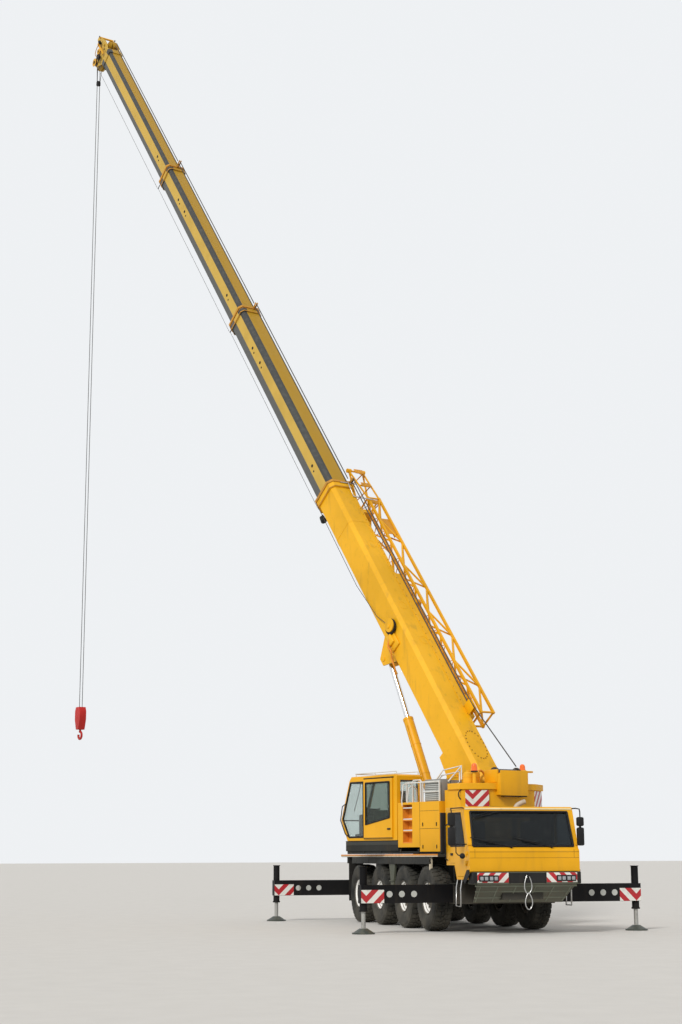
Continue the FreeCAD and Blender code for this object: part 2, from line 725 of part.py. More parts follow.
DOOR_GAP = [(1, 1), (1, -1), (-0.8, -1), (-1, -0.3), (-1, 0.4), (-0.7, 1), (0.7, 1), (0.7, 1)]
DOOR_LEAF = [
    (f"{across} + {shift[0]} * moving_gap", f"{up} + {shift[1]} * moving_gap")
    for (across, up), shift in zip(DOOR, DOOR_GAP)
]
WINDOW = [
    ("door_rear + frame_strip", "window_sill"),
    ("door_rear + frame_strip", "door_top - frame_strip"),
    ("cab_brow_front - 120 - frame_strip", "door_top - frame_strip"),
    ("door_front - frame_strip - 30", "window_sill"),
]
cab_half = "cab_width / 2"
cab_block = panel("cab_block", "xz", CAB_OUTER, f"-{cab_half}", cab_half)
cab_room = panel("cab_room", "xz", CAB_INNER, f"-{cab_half} + cab_wall", f"{cab_half} - cab_wall")
door_hole = panel("door_hole", "xz", DOOR, f"{cab_half} - cab_wall - 1", f"{cab_half} + 10")
SCREEN = [
    (f"-{cab_half} + screen_margin", "cab_sill + screen_edge"),
    (f"{cab_half} - screen_margin", "cab_sill + screen_edge"),
    (f"{cab_half} - screen_margin - 30", "cab_brow - screen_edge"),
    (f"-{cab_half} + screen_margin + 30", "cab_brow - screen_edge"),
]
screen_hole = panel("screen_hole", "yz", SCREEN, "door_front - 250", "cab_nose + 20")
rear_hole = box(
    "rear_hole",
    ("cab_rear - 10", "cab_rear + cab_wall + 10"),
    ("-rear_window / 2", "rear_window / 2"),
    ("cab_sill + 160", "cab_roof - 200"),
)
cab_shell = cut("cab_shell_walls", cab_block, [cab_room, door_hole, mirrored("door_hole_right", door_hole), screen_hole, rear_hole])
mirror_parts = []
for side, sign in SIDES:
    reach_out = "mirror_" + side
    middle = f"{sign} * {reach_out}"
    head = box(
        "mirror_head_" + side,
        ("mirror_front - 45", "mirror_front + 45"),
        (f"{middle} - mirror_width / 2", f"{middle} + mirror_width / 2"),
        ("mirror_bottom", "mirror_bottom + mirror_height"),
    )
    rounded = doc.addObject("Part::Fillet", "mirror_round_" + side)
    rounded.Base = head
    rounded.Edges = [(edge, size("mirror_round"), size("mirror_round")) for edge in (1, 3, 5, 7)]
    mirror_parts.append(rounded)
    low, high = f"{cab_half} - 60", f"{reach_out} + arm / 2"
    across = (low, high) if sign > 0 else (f"-({high})", f"-({low})")
    beside = (f"{middle} - arm / 2", f"{middle} + arm / 2")
    lower_at = ("mirror_front - 45", "mirror_front - 45 + arm")
    upper_at = ("cab_roof_front - arm", "cab_roof_front")
    over_door = ("door_top + 15", "door_top + 15 + arm")
    mirror_parts.append(box("mirror_arm_lower_" + side, lower_at, across, ("mirror_bottom + 40", "mirror_bottom + 40 + arm")))
    mirror_parts.append(box("mirror_arm_upper_" + side, upper_at, across, over_door))
    mirror_parts.append(box("mirror_rail_" + side, ("cab_roof_front - arm", "mirror_front + arm / 2"), beside, over_door))
    mirror_parts.append(
        box(
            "mirror_drop_" + side,
            ("mirror_front - arm / 2", "mirror_front + arm / 2"),
            beside,
            ("mirror_bottom + mirror_height - 5", "door_top + 20"),
        )
    )


def hinge(side, sign, number, low):
    """One door hinge: the cab's knuckle with its pin, and the leaf's knuckle below it."""
    tag = f"{side}_{number}"
    axis_at = ("door_front", f"{sign} * ({cab_half} + hinge_barrel + 1)")
    across = (f"{cab_half} - 1", f"{cab_half} + hinge_barrel")
    across = across if sign > 0 else (f"-({across[1]})", f"-({across[0]})")
    top = (f"{low} + hinge_height + running_gap", f"{low} + 2 * hinge_height")
    bottom = (low, f"{low} + hinge_height")
    fixed = [
        rod("hinge_pin_" + tag, "z", (*axis_at, low), "hinge_pin", "2 * hinge_height"),
        rod("hinge_upper_" + tag, "z", (*axis_at, top[0]), "hinge_barrel", "hinge_height - running_gap"),
        box("hinge_plate_" + tag, ("door_front + 10", "door_front + 70"), across, top),
    ]
    turning = [
        rod("hinge_lower_" + tag, "z", (*axis_at, low), "hinge_barrel", "hinge_height"),
        box("hinge_strap_" + tag, ("door_front - 80", "door_front - 10"), across, bottom),
    ]
    hole = rod("hinge_hole_" + tag, "z", (*axis_at, f"{low} - 1"), "hinge_pin + running_gap", "hinge_height + 2")
    return fixed, cut("hinge_leaf_" + tag, fuse("hinge_turning_" + tag, turning), [hole])


HINGES = ("cab_chin + 110", "cab_sill - 160")
shell_hinges = []
leaf_hinges = {"left": [], "right": []}
for side, sign in SIDES:
    for number, low in enumerate(HINGES):
        fixed, turning = hinge(side, sign, number, low)
        shell_hinges += fixed
        leaf_hinges[side].append(turning)
node("cab_shell", [fuse("cab_shell_form", [cab_shell] + mirror_parts + shell_hinges)], CARRIER)

# Cab glass: a slanted windscreen and a rear window, set in the middle of the wall
screen_band = panel(
    "screen_band",
    "xz",
    [
        ("cab_brow_front - 0.6 * cab_wall", "cab_brow"),
        ("cab_brow_front - 0.6 * cab_wall + glass", "cab_brow"),
        ("cab_sill_front - 0.6 * cab_wall + glass", "cab_sill"),
        ("cab_sill_front - 0.6 * cab_wall", "cab_sill"),
    ],
    f"-{cab_half}",
    cab_half,
)
SCREEN_GLASS = [
    (f"-{cab_half} + screen_margin + running_gap", "cab_sill + screen_edge + running_gap"),
    (f"{cab_half} - screen_margin - running_gap", "cab_sill + screen_edge + running_gap"),
    (f"{cab_half} - screen_margin - 30 - running_gap", "cab_brow - screen_edge - running_gap"),
    (f"-{cab_half} + screen_margin + 30 + running_gap", "cab_brow - screen_edge - running_gap"),
]
screen_prism = panel("screen_prism", "yz", SCREEN_GLASS, "door_front - 260", "cab_nose + 30")
rear_glass = box(
    "rear_glass",
    ("cab_rear + cab_wall / 2", "cab_rear + cab_wall / 2 + glass"),
    ("-rear_window / 2 + running_gap", "rear_window / 2 - running_gap"),
    ("cab_sill + 160 + running_gap", "cab_roof - 200 - running_gap"),
)
node("cab_glass", [common("screen_glass", screen_band, screen_prism), rear_glass], CARRIER)


# Doors as thick as the wall, with the glass fixed in the window
def cab_door(side, sign):
    """A door leaf with its window and handle."""
    low, high = f"{cab_half} - cab_wall", cab_half
    across = (low, high) if sign > 0 else (f"-({high})", f"-({low})")
    leaf = panel("leaf_" + side, "xz", DOOR_LEAF, *across)
    hole = panel("leaf_window_" + side, "xz", WINDOW, f"{across[0]} - 10", f"{across[1]} + 10")
    pane = panel(
        "pane_" + side,
        "xz",
        [(f"{one} - 3", f"{two} - 3") if number == 0 else (one, two) for number, (one, two) in enumerate(WINDOW)],
        f"{across[0]} + cab_wall / 2 - glass / 2",
        f"{across[0]} + cab_wall / 2 + glass / 2",
    )
    node("cab_door_" + side, [fuse("door_form_" + side, [cut("leaf_open_" + side, leaf, [hole]), pane] + leaf_hinges[side])], CARRIER)


for side, sign in SIDES:
    cab_door(side, sign)

# Cab interior: floor console, dashboard and two seats
dash = box("dash", ("cab_nose - cab_wall - 420", "cab_nose - cab_wall - running_gap"), (f"-{cab_half} + 130", f"{cab_half} - 130"), ("cab_sill - 230", "cab_sill - 70"))
interior = [dash]
for side, sign in SIDES:
    middle = f"{sign} * 640"
    cushion = box(
        "cushion_" + side,
        ("cab_rear + cab_wall + 160", "cab_rear + cab_wall + 640"),
        (f"{middle} - cab_seat_width / 2", f"{middle} + cab_seat_width / 2"),
        ("cab_step + cab_wall + running_gap", "cab_step + cab_wall + 330"),
    )
    backrest = box(
        "backrest_" + side,
        ("cab_rear + cab_wall + 60", "cab_rear + cab_wall + 200"),
        (f"{middle} - cab_seat_width / 2", f"{middle} + cab_seat_width / 2"),
        ("cab_step + cab_wall + 200", "cab_step + cab_wall + 880"),
    )
    interior.append(fuse("cab_seat_" + side, [cushion, backrest]))
node("cab_interior", interior, CARRIER)

# Bumper: an upper bar and a skirt that slants back under it
bumper_bar = box(
    "bumper_bar",
    ("bumper_front - bumper_depth", "bumper_front"),
    (f"-{cab_half} + 40", f"{cab_half} - 40"),
    ("bumper_split", "bumper_top"),
)
skirt_face = panel(
    "skirt_face",
    "yz",
    [
        (f"-{cab_half} + 130", "bumper_split + 10"),
        (f"-{cab_half} + 130 + skirt_taper", "bumper_bottom"),
        (f"{cab_half} - 130 - skirt_taper", "bumper_bottom"),
        (f"{cab_half} - 130", "bumper_split + 10"),
    ],
    "bumper_front - skirt_back - 100",
    "bumper_front",
)
skirt_slant = panel(
    "skirt_slant",
    "xz",
    [
        ("bumper_front - 20", "bumper_split + 10"),
        ("bumper_front - 20 - skirt_plate", "bumper_split + 10"),
        ("bumper_front - skirt_back - skirt_plate", "bumper_bottom"),
        ("bumper_front - skirt_back", "bumper_bottom"),
    ],
    f"-{cab_half}",
    cab_half,
)
bumper_recess = box("bumper_recess", ("bumper_front - 60", "bumper_front + 10"), ("-400", "400"), ("bumper_split + 20", "bumper_top - 25"))
bumper_room = box(
    "bumper_room",
    ("bumper_front - bumper_depth - 10", "cab_nose + running_gap"),
    (f"-{cab_half}", cab_half),
    ("cab_foot - 30", "bumper_top + 10"),
)
nose_room = box(
    "nose_room",
    ("bumper_front - skirt_back - 110", "frame_front + nose_length + running_gap"),
    ("-frame_width / 2 - running_gap", "frame_width / 2 + running_gap"),
    ("frame_bottom - 95", "bumper_top + 10"),
)
bumper_blocks = fuse("bumper_blocks", [bumper_bar, common("bumper_skirt", skirt_face, skirt_slant)])
node("bumper", [cut("bumper_form", bumper_blocks, [bumper_recess, bumper_room, nose_room])], CARRIER)

# Turntable: turning ring, revolving frame, the cab's platform, cheeks, foot pin
table = box("table", ("-table_rear", "table_front"), ("-table_width / 2", "table_width / 2"), ("table_top - 120", "table_top"))
ring_top = "frame_top + ring_height + running_gap"
turning_ring = rod("turning_ring", "z", ("0", "0", ring_top), "ring_radius - 20", f"table_top - 60 - ({ring_top})")
platform = box("platform", ("-cabinet_front", "platform_front"), ("0", "platform_side"), ("table_top - 40", "op_floor"))
platform_room = box(
    "platform_room",
    ("-cabinet_front - 5", "platform_front + 5"),
    ("-5", "platform_inner"),
    ("table_top", "op_floor + 5"),
)
platform_skirt = box(
    "platform_skirt",
    ("-cabinet_front", "platform_front"),
    ("platform_inner", "platform_side"),
    ("table_top - platform_skirt", "table_top - 35"),
)
arm_left = box("side_arm_left", ("-cabinet_rear", "-cabinet_front"), ("0", "platform_side - 100"), ("table_top - 80", "table_top - 30"))
arm_right = box("side_arm_right", ("-cabinet_rear", "table_front"), ("-tail_side", "0"), ("table_top - 80", "table_top - 30"))
cheek = panel(
    "cheek",
    "xz",
    [
        ("-pivot_back - 900", "table_top - 20"),
        ("-pivot_back - 900", "table_top + 500"),
        ("-pivot_back - 420", "pivot_height + 60"),
        ("-pivot_back - 160", "pivot_height + 210"),
        ("-pivot_back + 160", "pivot_height + 210"),
        ("-pivot_back + 330", "pivot_height - 60"),
        ("foot_eye_back + 260", "table_top + 330"),
        ("foot_eye_back + 420", "table_top - 20"),
    ],
    "cheek_gap / 2",
    "cheek_gap / 2 + cheek_plate",
)
pin = rod("foot_pin", "y", ("-pivot_back", "-cheek_gap / 2 - cheek_plate - 15", "pivot_height"), "pivot_radius", "cheek_gap + 2 * cheek_plate + 30")
lower_lugs = []
for side, sign in SIDES:
    inner = "eye_width / 2 + moving_gap"
    outer = "eye_width / 2 + moving_gap + lug_plate"
    across = (inner, outer) if sign > 0 else (f"-({outer})", f"-({inner})")
    lug = panel(
        "lower_lug_" + side,
        "xz",
        [
            ("-foot_eye_back - 230", "table_top - 20"),
            ("-foot_eye_back - 110", "foot_eye_height + 90"),
            ("-foot_eye_back + 110", "foot_eye_height + 90"),
            ("-foot_eye_back + 230", "table_top - 20"),
        ],
        *across,
    )
    lower_lugs.append(lug)
lower_pin = rod("lower_pin", "y", ("-foot_eye_back", "-eye_width / 2 - lug_plate", "foot_eye_height"), "60", "eye_width + 2 * lug_plate")
eye_room = rod("eye_room", "y", ("-foot_eye_back", "-eye_width / 2 - moving_gap", "foot_eye_height"), "eye_radius + 40", "eye_width + 2 * moving_gap")
table_form = fuse(
    "turntable_form",
    [
        cut(
            "turntable_plates",
            fuse("turntable_blocks", [table, turning_ring, cut("platform_form", platform, [platform_room]), platform_skirt, arm_left, arm_right]),
            [eye_room],
        ),
        cheek,
        mirrored("cheek_right", cheek),
        pin,
        lower_pin,
    ]
    + lower_lugs,
)
node("turntable", [table_form], UPPER)

# Side cabinets, with the ladder recess, its steps and the rails on top
ladder_cabinet = box("ladder_cabinet", ("-cabinet_split", "-cabinet_front - running_gap"), ("platform_inner + 60", "platform_side"), ("ladder_cabinet_bottom", "housing_top"))
ladder_recess = box("ladder_recess", ("-ladder_rear", "-ladder_front"), ("platform_side - ladder_depth", "platform_side + 10"), ("ladder_cabinet_bottom + 90", "housing_top - 50"))
arm_room = box(
    "arm_room",
    ("-cabinet_rear - 5", "-cabinet_front + 5"),
    ("0", "platform_side - 100 + running_gap"),
    ("table_top - 80 - running_gap", "table_top - 30 + running_gap"),
)
steps = [
    box(
        f"ladder_step_{number}",
        ("-ladder_rear - 5", "-ladder_front + 5"),
        ("platform_side - ladder_depth - 5", "platform_side - 10"),
        (f"ladder_cabinet_bottom + {90 + 255 * number}", f"ladder_cabinet_bottom + {90 + 255 * number} + 30"),
    )
    for number in range(3)
]
rear_cabinet = box("rear_cabinet", ("-cabinet_rear", "-cabinet_split + 1"), ("platform_inner + 60", "platform_side"), ("rear_cabinet_bottom", "housing_top"))
cooler = box("cooler", ("-cabinet_rear + 60", "-cabinet_split + 60"), ("platform_inner + 40", "platform_inner + 340"), ("housing_top - 5", "housing_top + 480"))
rails = []
for number, along in enumerate(("-cabinet_rear + 40", "-cabinet_split", "-cabinet_front - 300")):
    rails.append(box(f"rail_post_{number}", (f"{along} - arm / 2", f"{along} + arm / 2"), ("platform_side - 60", "platform_side - 60 + arm"), ("housing_top - 5", "housing_top + 460")))
rails.append(box("rail_top", ("-cabinet_rear + 40 - arm / 2", "-cabinet_front - 300 + arm / 2"), ("platform_side - 60", "platform_side - 60 + arm"), ("housing_top + 430", "housing_top + 430 + arm")))
left_housing = fuse(
    "left_housing",
    [cut("ladder_form", fuse("cabinets", [ladder_cabinet, rear_cabinet]), [ladder_recess, arm_room]), cooler] + steps + rails,
)
right_block = box("right_block", ("-cabinet_rear", "table_front - 200"), ("-tail_side", "-table_width / 2 - 10"), ("table_top - 30 + running_gap", "housing_top - 120"))
right_soft = doc.addObject("Part::Chamfer", "right_housing")
right_soft.Base = right_block
right_soft.Edges = [(edge, size("housing_chamfer"), size("housing_chamfer")) for edge in (4, 8)]
node("upper_housing", [left_housing, right_soft], UPPER)

# Tail: ballast with chamfered corners, its top plate, and the winch box
TAIL_TOP = "(pivot_height - tail_drop)"
DRUM_HEIGHT = f"({TAIL_TOP} + winch_rise)"
TAIL = [
    ("-tail_rear", "-tail_flat"),
    ("-tail_rear", "tail_flat"),
    ("-tail_corner", "tail_side"),
    ("-tail_front", "tail_side"),
    ("-tail_front", "tail_slot"),
    ("-tail_slot_rear", "tail_slot"),
    ("-tail_slot_rear", "-tail_slot"),
    ("-tail_front", "-tail_slot"),
    ("-tail_front", "-tail_side"),
    ("-tail_corner", "-tail_side"),
]
ballast = panel("ballast", "xy", TAIL, "table_top + running_gap", TAIL_TOP)
top_plate = panel(
    "tail_plate",
    "xy",
    [
        ("-tail_rear - 40", "-tail_flat - 20"),
        ("-tail_rear - 40", "tail_flat + 20"),
        ("-tail_corner - 20", "tail_side + 40"),
        ("-tail_front - 160", "tail_side + 40"),
        ("-tail_front - 160", "tail_slot"),
        ("-tail_slot_rear", "tail_slot"),
        ("-tail_slot_rear", "-tail_slot"),
        ("-tail_front - 160", "-tail_slot"),
        ("-tail_front - 160", "-tail_side - 40"),
        ("-tail_corner - 20", "-tail_side - 40"),
    ],
    TAIL_TOP,
    f"{TAIL_TOP} + tail_cap",
)
winch_box = box("winch_box", ("-tail_rear - 150", "-winch_back + flange_radius + 60"), ("-winch_width / 2", "winch_width / 2"), (f"{TAIL_TOP} - winch_seat", f"{DRUM_HEIGHT} + winch_cover"))
winch_room = box(
    "winch_room",
    ("-winch_back - flange_radius - 20", "-winch_back + flange_radius + 80"),
    ("-winch_width / 2 + 50", "winch_width / 2 - 50"),
    (f"{DRUM_HEIGHT} - flange_radius - 20", f"{DRUM_HEIGHT} + winch_cover + 10"),
)
winch_bearing = rod("winch_bearing", "y", ("-winch_back", "-winch_width / 2 - 5", DRUM_HEIGHT), "drum_shaft + running_gap", "winch_width + 10")
bearing_blocks = []
for side, sign in SIDES:
    inner, outer = ("winch_width / 2 - 50", "winch_width / 2")
    across = (inner, outer) if sign > 0 else (f"-({outer})", f"-({inner})")
    bearing_blocks.append(box("bearing_" + side, ("-winch_back - 90", "-winch_back + 90"), across, (f"{DRUM_HEIGHT} - 5", f"{DRUM_HEIGHT} + drum_shaft + 45")))
tail_form = cut("tail_form", fuse("tail_blocks", [ballast, top_plate, winch_box] + bearing_blocks), [winch_room, winch_bearing])
node("counterweight", [tail_form], UPPER)
drum = rod("drum_core", "y", ("-winch_back", "-winch_width / 2 + 56", DRUM_HEIGHT), "winch_radius", "winch_width - 112")
drum_axle = rod("drum_axle", "y", ("-winch_back", "-winch_width / 2", DRUM_HEIGHT), "drum_shaft", "winch_width")
flanges = [
    rod(f"flange_{side}", "y", ("-winch_back", f"{sign} * (winch_width / 2 - 66) - 10", DRUM_HEIGHT), "flange_radius", "20")
    for side, sign in SIDES
]
node("winch_drum", [fuse("drum_form", [drum, drum_axle] + flanges)], UPPER)

# Operator's cab
OP_OUTER = [
    ("-op_rear", "op_floor"),
    ("-op_rear", "op_roof - 40"),
    ("-op_rear + 60", "op_roof"),
    ("op_roof_front", "op_roof"),
    ("op_brow_front", "op_brow"),
    ("op_waist_front", "op_waist"),
    ("op_front", "op_floor"),
]
OP_INNER = [
    ("-op_rear + op_wall", "op_floor + op_wall"),
    ("-op_rear + op_wall", "op_roof - 40 - op_wall"),
    ("-op_rear + 60 + op_wall / 2", "op_roof - op_wall"),
    ("op_roof_front - op_wall / 2", "op_roof - op_wall"),
    ("op_brow_front - op_wall", "op_brow - op_wall / 4"),
    ("op_waist_front - op_wall", "op_waist"),
    ("op_front - op_wall", "op_floor + op_wall"),
]
OP_DOOR = [
    ("op_door_rear + 30", "op_door_bottom + 30"),
    ("op_door_rear + 30", "op_door_top - 30"),
    ("op_door_front - 30", "op_door_top - 30"),
    ("op_door_front - 30", "op_door_bottom + 30"),
]
OP_SIDE_WINDOW = [
    ("op_door_front + 60", "op_floor + 90"),
    ("op_door_front + 60", "op_brow - 40"),
    ("op_brow_front - 60", "op_brow - 40"),
    ("op_waist_front - 85", "op_waist + 20"),
    ("op_front - 80", "op_floor + 90"),
]
op_block = panel("op_block", "xz", OP_OUTER, "op_inner", "op_outer")
op_room = panel("op_room", "xz", OP_INNER, "op_inner + op_wall", "op_outer - op_wall")
op_door_hole = panel("op_door_hole", "xz", OP_DOOR, "op_outer - op_wall - 10", "op_outer + 10")
op_side_hole = panel("op_side_hole", "xz", OP_SIDE_WINDOW, "op_inner - 10", "op_outer + 10")
op_inner_hole = box("op_inner_hole", ("op_door_rear + 60", "op_door_front"), ("op_inner - 10", "op_inner + op_wall + 10"), ("op_floor + 550", "op_brow - 40"))
op_front_hole = box("op_front_hole", ("op_front - 700", "op_waist_front + 20"), ("op_inner + op_wall + 20", "op_outer - op_wall - 20"), ("op_floor + 70", "op_brow - 40"))
op_keep = panel(
    "op_keep",
    "xz",
    [
        ("-op_rear + op_wall + 5", "op_floor - 10"),
        ("-op_rear + op_wall + 5", "op_roof + 10"),
        ("op_brow_front - op_wall - 45", "op_roof + 10"),
        ("op_brow_front - op_wall - 45", "op_brow - 40"),
        ("op_waist_front - op_wall - 45", "op_waist"),
        ("op_front - op_wall - 45", "op_floor - 10"),
    ],
    "op_inner + op_wall + 20",
    "op_outer - op_wall - 20",
)
op_front_cut = cut("op_front_cut", op_front_hole, [op_keep])
op_rear_hole = box("op_rear_hole", ("-op_rear - 10", "-op_rear + op_wall + 10"), ("op_inner + 110", "op_outer - 110"), ("op_floor + 850", "op_roof - 130"))
op_roof_hole = box("op_roof_hole", ("op_door_rear + 300", "op_roof_front - 120"), ("op_inner + 130", "op_outer - 130"), ("op_roof - op_wall - 10", "op_roof + 10"))
operator_cab = cut("operator_cab_form", op_block, [op_room, op_door_hole, op_side_hole, op_inner_hole, op_front_cut, op_rear_hole, op_roof_hole])
node("operator_cab", [operator_cab], UPPER)

# Operator's cab glass: front, both sides, rear and roof
OP_FRONT_GLASS = [
    ("op_brow_front - op_wall / 2", "op_brow - 40 - running_gap"),
    ("op_brow_front - op_wall / 2 + glass", "op_brow - 40 - running_gap"),
    ("op_waist_front - op_wall / 2 + glass", "op_waist"),
    ("op_front - op_wall / 2 + glass", "op_floor + 70 + running_gap"),
    ("op_front - op_wall / 2", "op_floor + 70 + running_gap"),
    ("op_waist_front - op_wall / 2", "op_waist"),
]
front_pane = panel("op_front_pane", "xz", OP_FRONT_GLASS, "op_inner + op_wall + 20 + running_gap", "op_outer - op_wall - 20 - running_gap")
side_panes = []
for name, low in (("outer", "op_outer - op_wall / 2 - glass / 2"), ("inner", "op_inner + op_wall / 2 - glass / 2")):
    side_panes.append(panel("op_pane_" + name, "xz", OP_SIDE_WINDOW, low, f"{low} + glass"))
inner_pane = box(
    "op_inner_pane",
    ("op_door_rear + 60 + running_gap", "op_door_front - running_gap"),
    ("op_inner + op_wall / 2 - glass / 2", "op_inner + op_wall / 2 + glass / 2"),
    ("op_floor + 550 + running_gap", "op_brow - 40 - running_gap"),
)
rear_pane = box(
    "op_rear_pane",
    ("-op_rear + op_wall / 2", "-op_rear + op_wall / 2 + glass"),
    ("op_inner + 110 + running_gap", "op_outer - 110 - running_gap"),
    ("op_floor + 850 + running_gap", "op_roof - 130 - running_gap"),
)
roof_pane = box(
    "op_roof_pane",
    ("op_door_rear + 300 + running_gap", "op_roof_front - 120 - running_gap"),
    ("op_inner + 130 + running_gap", "op_outer - 130 - running_gap"),
    ("op_roof - op_wall / 2", "op_roof - op_wall / 2 + glass"),
)
node("operator_cab_glass", [front_pane, inner_pane, rear_pane, roof_pane] + side_panes, UPPER)

# Operator's sliding door, outside the wall
door_leaf = panel(
    "op_door_leaf",
    "xz",
    [
        ("op_door_rear", "op_door_bottom"),
        ("op_door_rear", "op_door_top"),
        ("op_door_front", "op_door_top"),
        ("op_door_front", "op_door_bottom"),
    ],
    "op_outer + running_gap",
    "op_outer + running_gap + op_wall",
)
door_window = panel(
    "op_door_window",
    "xz",
    [
        ("op_door_rear + 90", "op_door_bottom + 480"),
        ("op_door_rear + 90", "op_door_top - 90"),
        ("op_door_front - 90", "op_door_top - 90"),
        ("op_door_front - 90", "op_door_bottom + 330"),
    ],
    "op_outer - 10",
    "op_outer + op_wall + 10",
)
door_pane = panel(
    "op_door_pane",
    "xz",
    [
        ("op_door_rear + 88", "op_door_bottom + 478"),
        ("op_door_rear + 88", "op_door_top - 88"),
        ("op_door_front - 88", "op_door_top - 88"),
        ("op_door_front - 88", "op_door_bottom + 328"),
    ],
    "op_outer + op_wall / 2 - glass / 2",
    "op_outer + op_wall / 2 + glass / 2",
)
node("operator_cab_door", [fuse("op_door_form", [cut("op_door_open", door_leaf, [door_window]), door_pane])], UPPER)

# Operator's seat and consoles
op_middle = "(op_inner + op_outer) / 2"
seat_base = box("seat_base", ("op_door_rear + 250", "op_door_rear + 700"), (f"{op_middle} - 200", f"{op_middle} + 200"), ("op_floor + op_wall + running_gap", "op_floor + op_wall + 420"))
seat_cushion = box("seat_cushion", ("op_door_rear + 230", "op_door_rear + 780"), (f"{op_middle} - 250", f"{op_middle} + 250"), ("op_floor + op_wall + 400", "op_floor + op_wall + 530"))
seat_back = box("seat_back", ("op_door_rear + 170", "op_door_rear + 290"), (f"{op_middle} - 230", f"{op_middle} + 230"), ("op_floor + op_wall + 420", "op_floor + op_wall + 1130"))
levers = [
    box(
        "console_" + side,
        ("op_door_rear + 400", "op_door_rear + 900"),
        (f"{op_middle} + {sign} * 270 - 35", f"{op_middle} + {sign} * 270 + 35"),
        ("op_floor + op_wall + 420", "op_floor + op_wall + 680"),
    )
    for side, sign in SIDES
]
node("operator_seat", [fuse("operator_seat_form", [seat_base, seat_cushion, seat_back] + levers)], UPPER)


# Boom sections: the outline of section n, grown or shrunk on every side
def section_outline(number, grow):
    """The eight-sided section of boom part n, in the boom's cross plane."""
    less = f"({number} * section_step - ({grow}))"
    half = f"(boom_width / 2 - {less})"
    high = f"(boom_axis + boom_depth / 2 - {less})"
    low = f"(boom_axis - boom_depth / 2 + {less})"
    bevel = f"(boom_bevel - (2 - sqrt(2)) * {less})"
    chine = f"(boom_chine - (2 - sqrt(2)) * {less})"
    return [
        (f"-{half} + {bevel}", high),
        (f"{half} - {bevel}", high),
        (half, f"{high} - {bevel}"),
        (half, f"{low} + {chine}"),
        (f"{half} - {chine}", low),
        (f"-{half} + {chine}", low),
        (f"-{half}", f"{low} + {chine}"),
        (f"-{half}", f"{high} - {bevel}"),
    ]


def section_bar(name, number, grow, start, end):
    """A solid bar of section n between two places along the boom."""
    return panel(name, "yz", section_outline(number, grow), start, end)


# Base section: a tube whose foot tapers to the pin, with the cylinder's lugs
base_bar = section_bar("base_bar", 0, "0", "-foot_back", "base_tip")
FOOT = [
    ("-foot_back", "boom_axis + boom_depth / 2 + 5"),
    ("-foot_back", "boom_axis - 140"),
    ("-190", "-150"),
    ("200", "-150"),
    ("900", "boom_axis - boom_depth / 2 - 5"),
    ("base_tip + 5", "boom_axis - boom_depth / 2 - 5"),
    ("base_tip + 5", "boom_axis + boom_depth / 2 + 5"),
]
foot_side = panel("foot_side", "xz", FOOT, "-boom_width / 2 - 5", "boom_width / 2 + 5")
foot_block = panel(
    "foot_block",
    "xz",
    [
        ("-foot_back + 120", "boom_axis - 160"),
        ("-180", "-150"),
        ("190", "-150"),
        ("900", "boom_axis - boom_depth / 2 + 5"),
        ("900", "boom_axis - 160"),
    ],
    "-boom_width / 2",
    "boom_width / 2",
)
base_bore = section_bar("base_bore", 0, "-boom_wall", "base_tip - section_overlap - section_pitch + collar_length - 80", "base_tip - collar_length")
pin_hole = rod("pin_hole", "y", ("0", "-cheek_gap / 2", "0"), "pivot_radius + running_gap", "cheek_gap")
foot_boss = rod("foot_boss", "y", ("0", "-cheek_gap / 2 + running_gap", "0"), "2 * pivot_radius", "cheek_gap - 2 * running_gap")
base_collar = section_bar("base_collar", 0, "collar_lip", "base_tip - collar_length", "base_tip")
base_throat = section_bar("base_throat", 1, "running_gap", "base_tip - collar_length - 10", "base_tip + 10")
jib_rail = box(
    "jib_rail",
    ("rail_rear", "rail_front"),
    ("-boom_width / 2 - rail_width", "-boom_width / 2 + boom_wall / 2"),
    ("boom_axis + boom_depth / 2 - boom_bevel - rail_depth", "boom_axis + boom_depth / 2 - boom_bevel"),
)
lugs = []
for side, sign in SIDES:
    inner, outer = ("lug_gap / 2", "lug_gap / 2 + lug_plate")
    across = (inner, outer) if sign > 0 else (f"-({outer})", f"-({inner})")
    lugs.append(
        panel(
            "lug_" + side,
            "xz",
            [
                ("eye_along - 420", "boom_axis - boom_depth / 2 + 10"),
                ("eye_along - 110", "boom_axis - eye_drop - 120"),
                ("eye_along + 110", "boom_axis - eye_drop - 120"),
                ("eye_along + 420", "boom_axis - boom_depth / 2 + 10"),
            ],
            *across,
        )
    )
    lugs.append(
        rod(
            "lug_pin_" + side,
            "y",
            ("eye_along", f"{sign} * (lug_gap / 2 + lug_plate / 2 + 10) - lug_plate / 2 - 10", "boom_axis - eye_drop"),
            "55",
            "lug_plate + 20",
        )
    )
boom_base = cut(
    "boom_base_form",
    fuse("boom_base_blocks", [common("base_tube", base_bar, foot_side), foot_block, foot_boss, base_collar, jib_rail] + lugs),
    [base_bore, base_throat, pin_hole],
)
node("boom_base", [boom_base], BOOM)


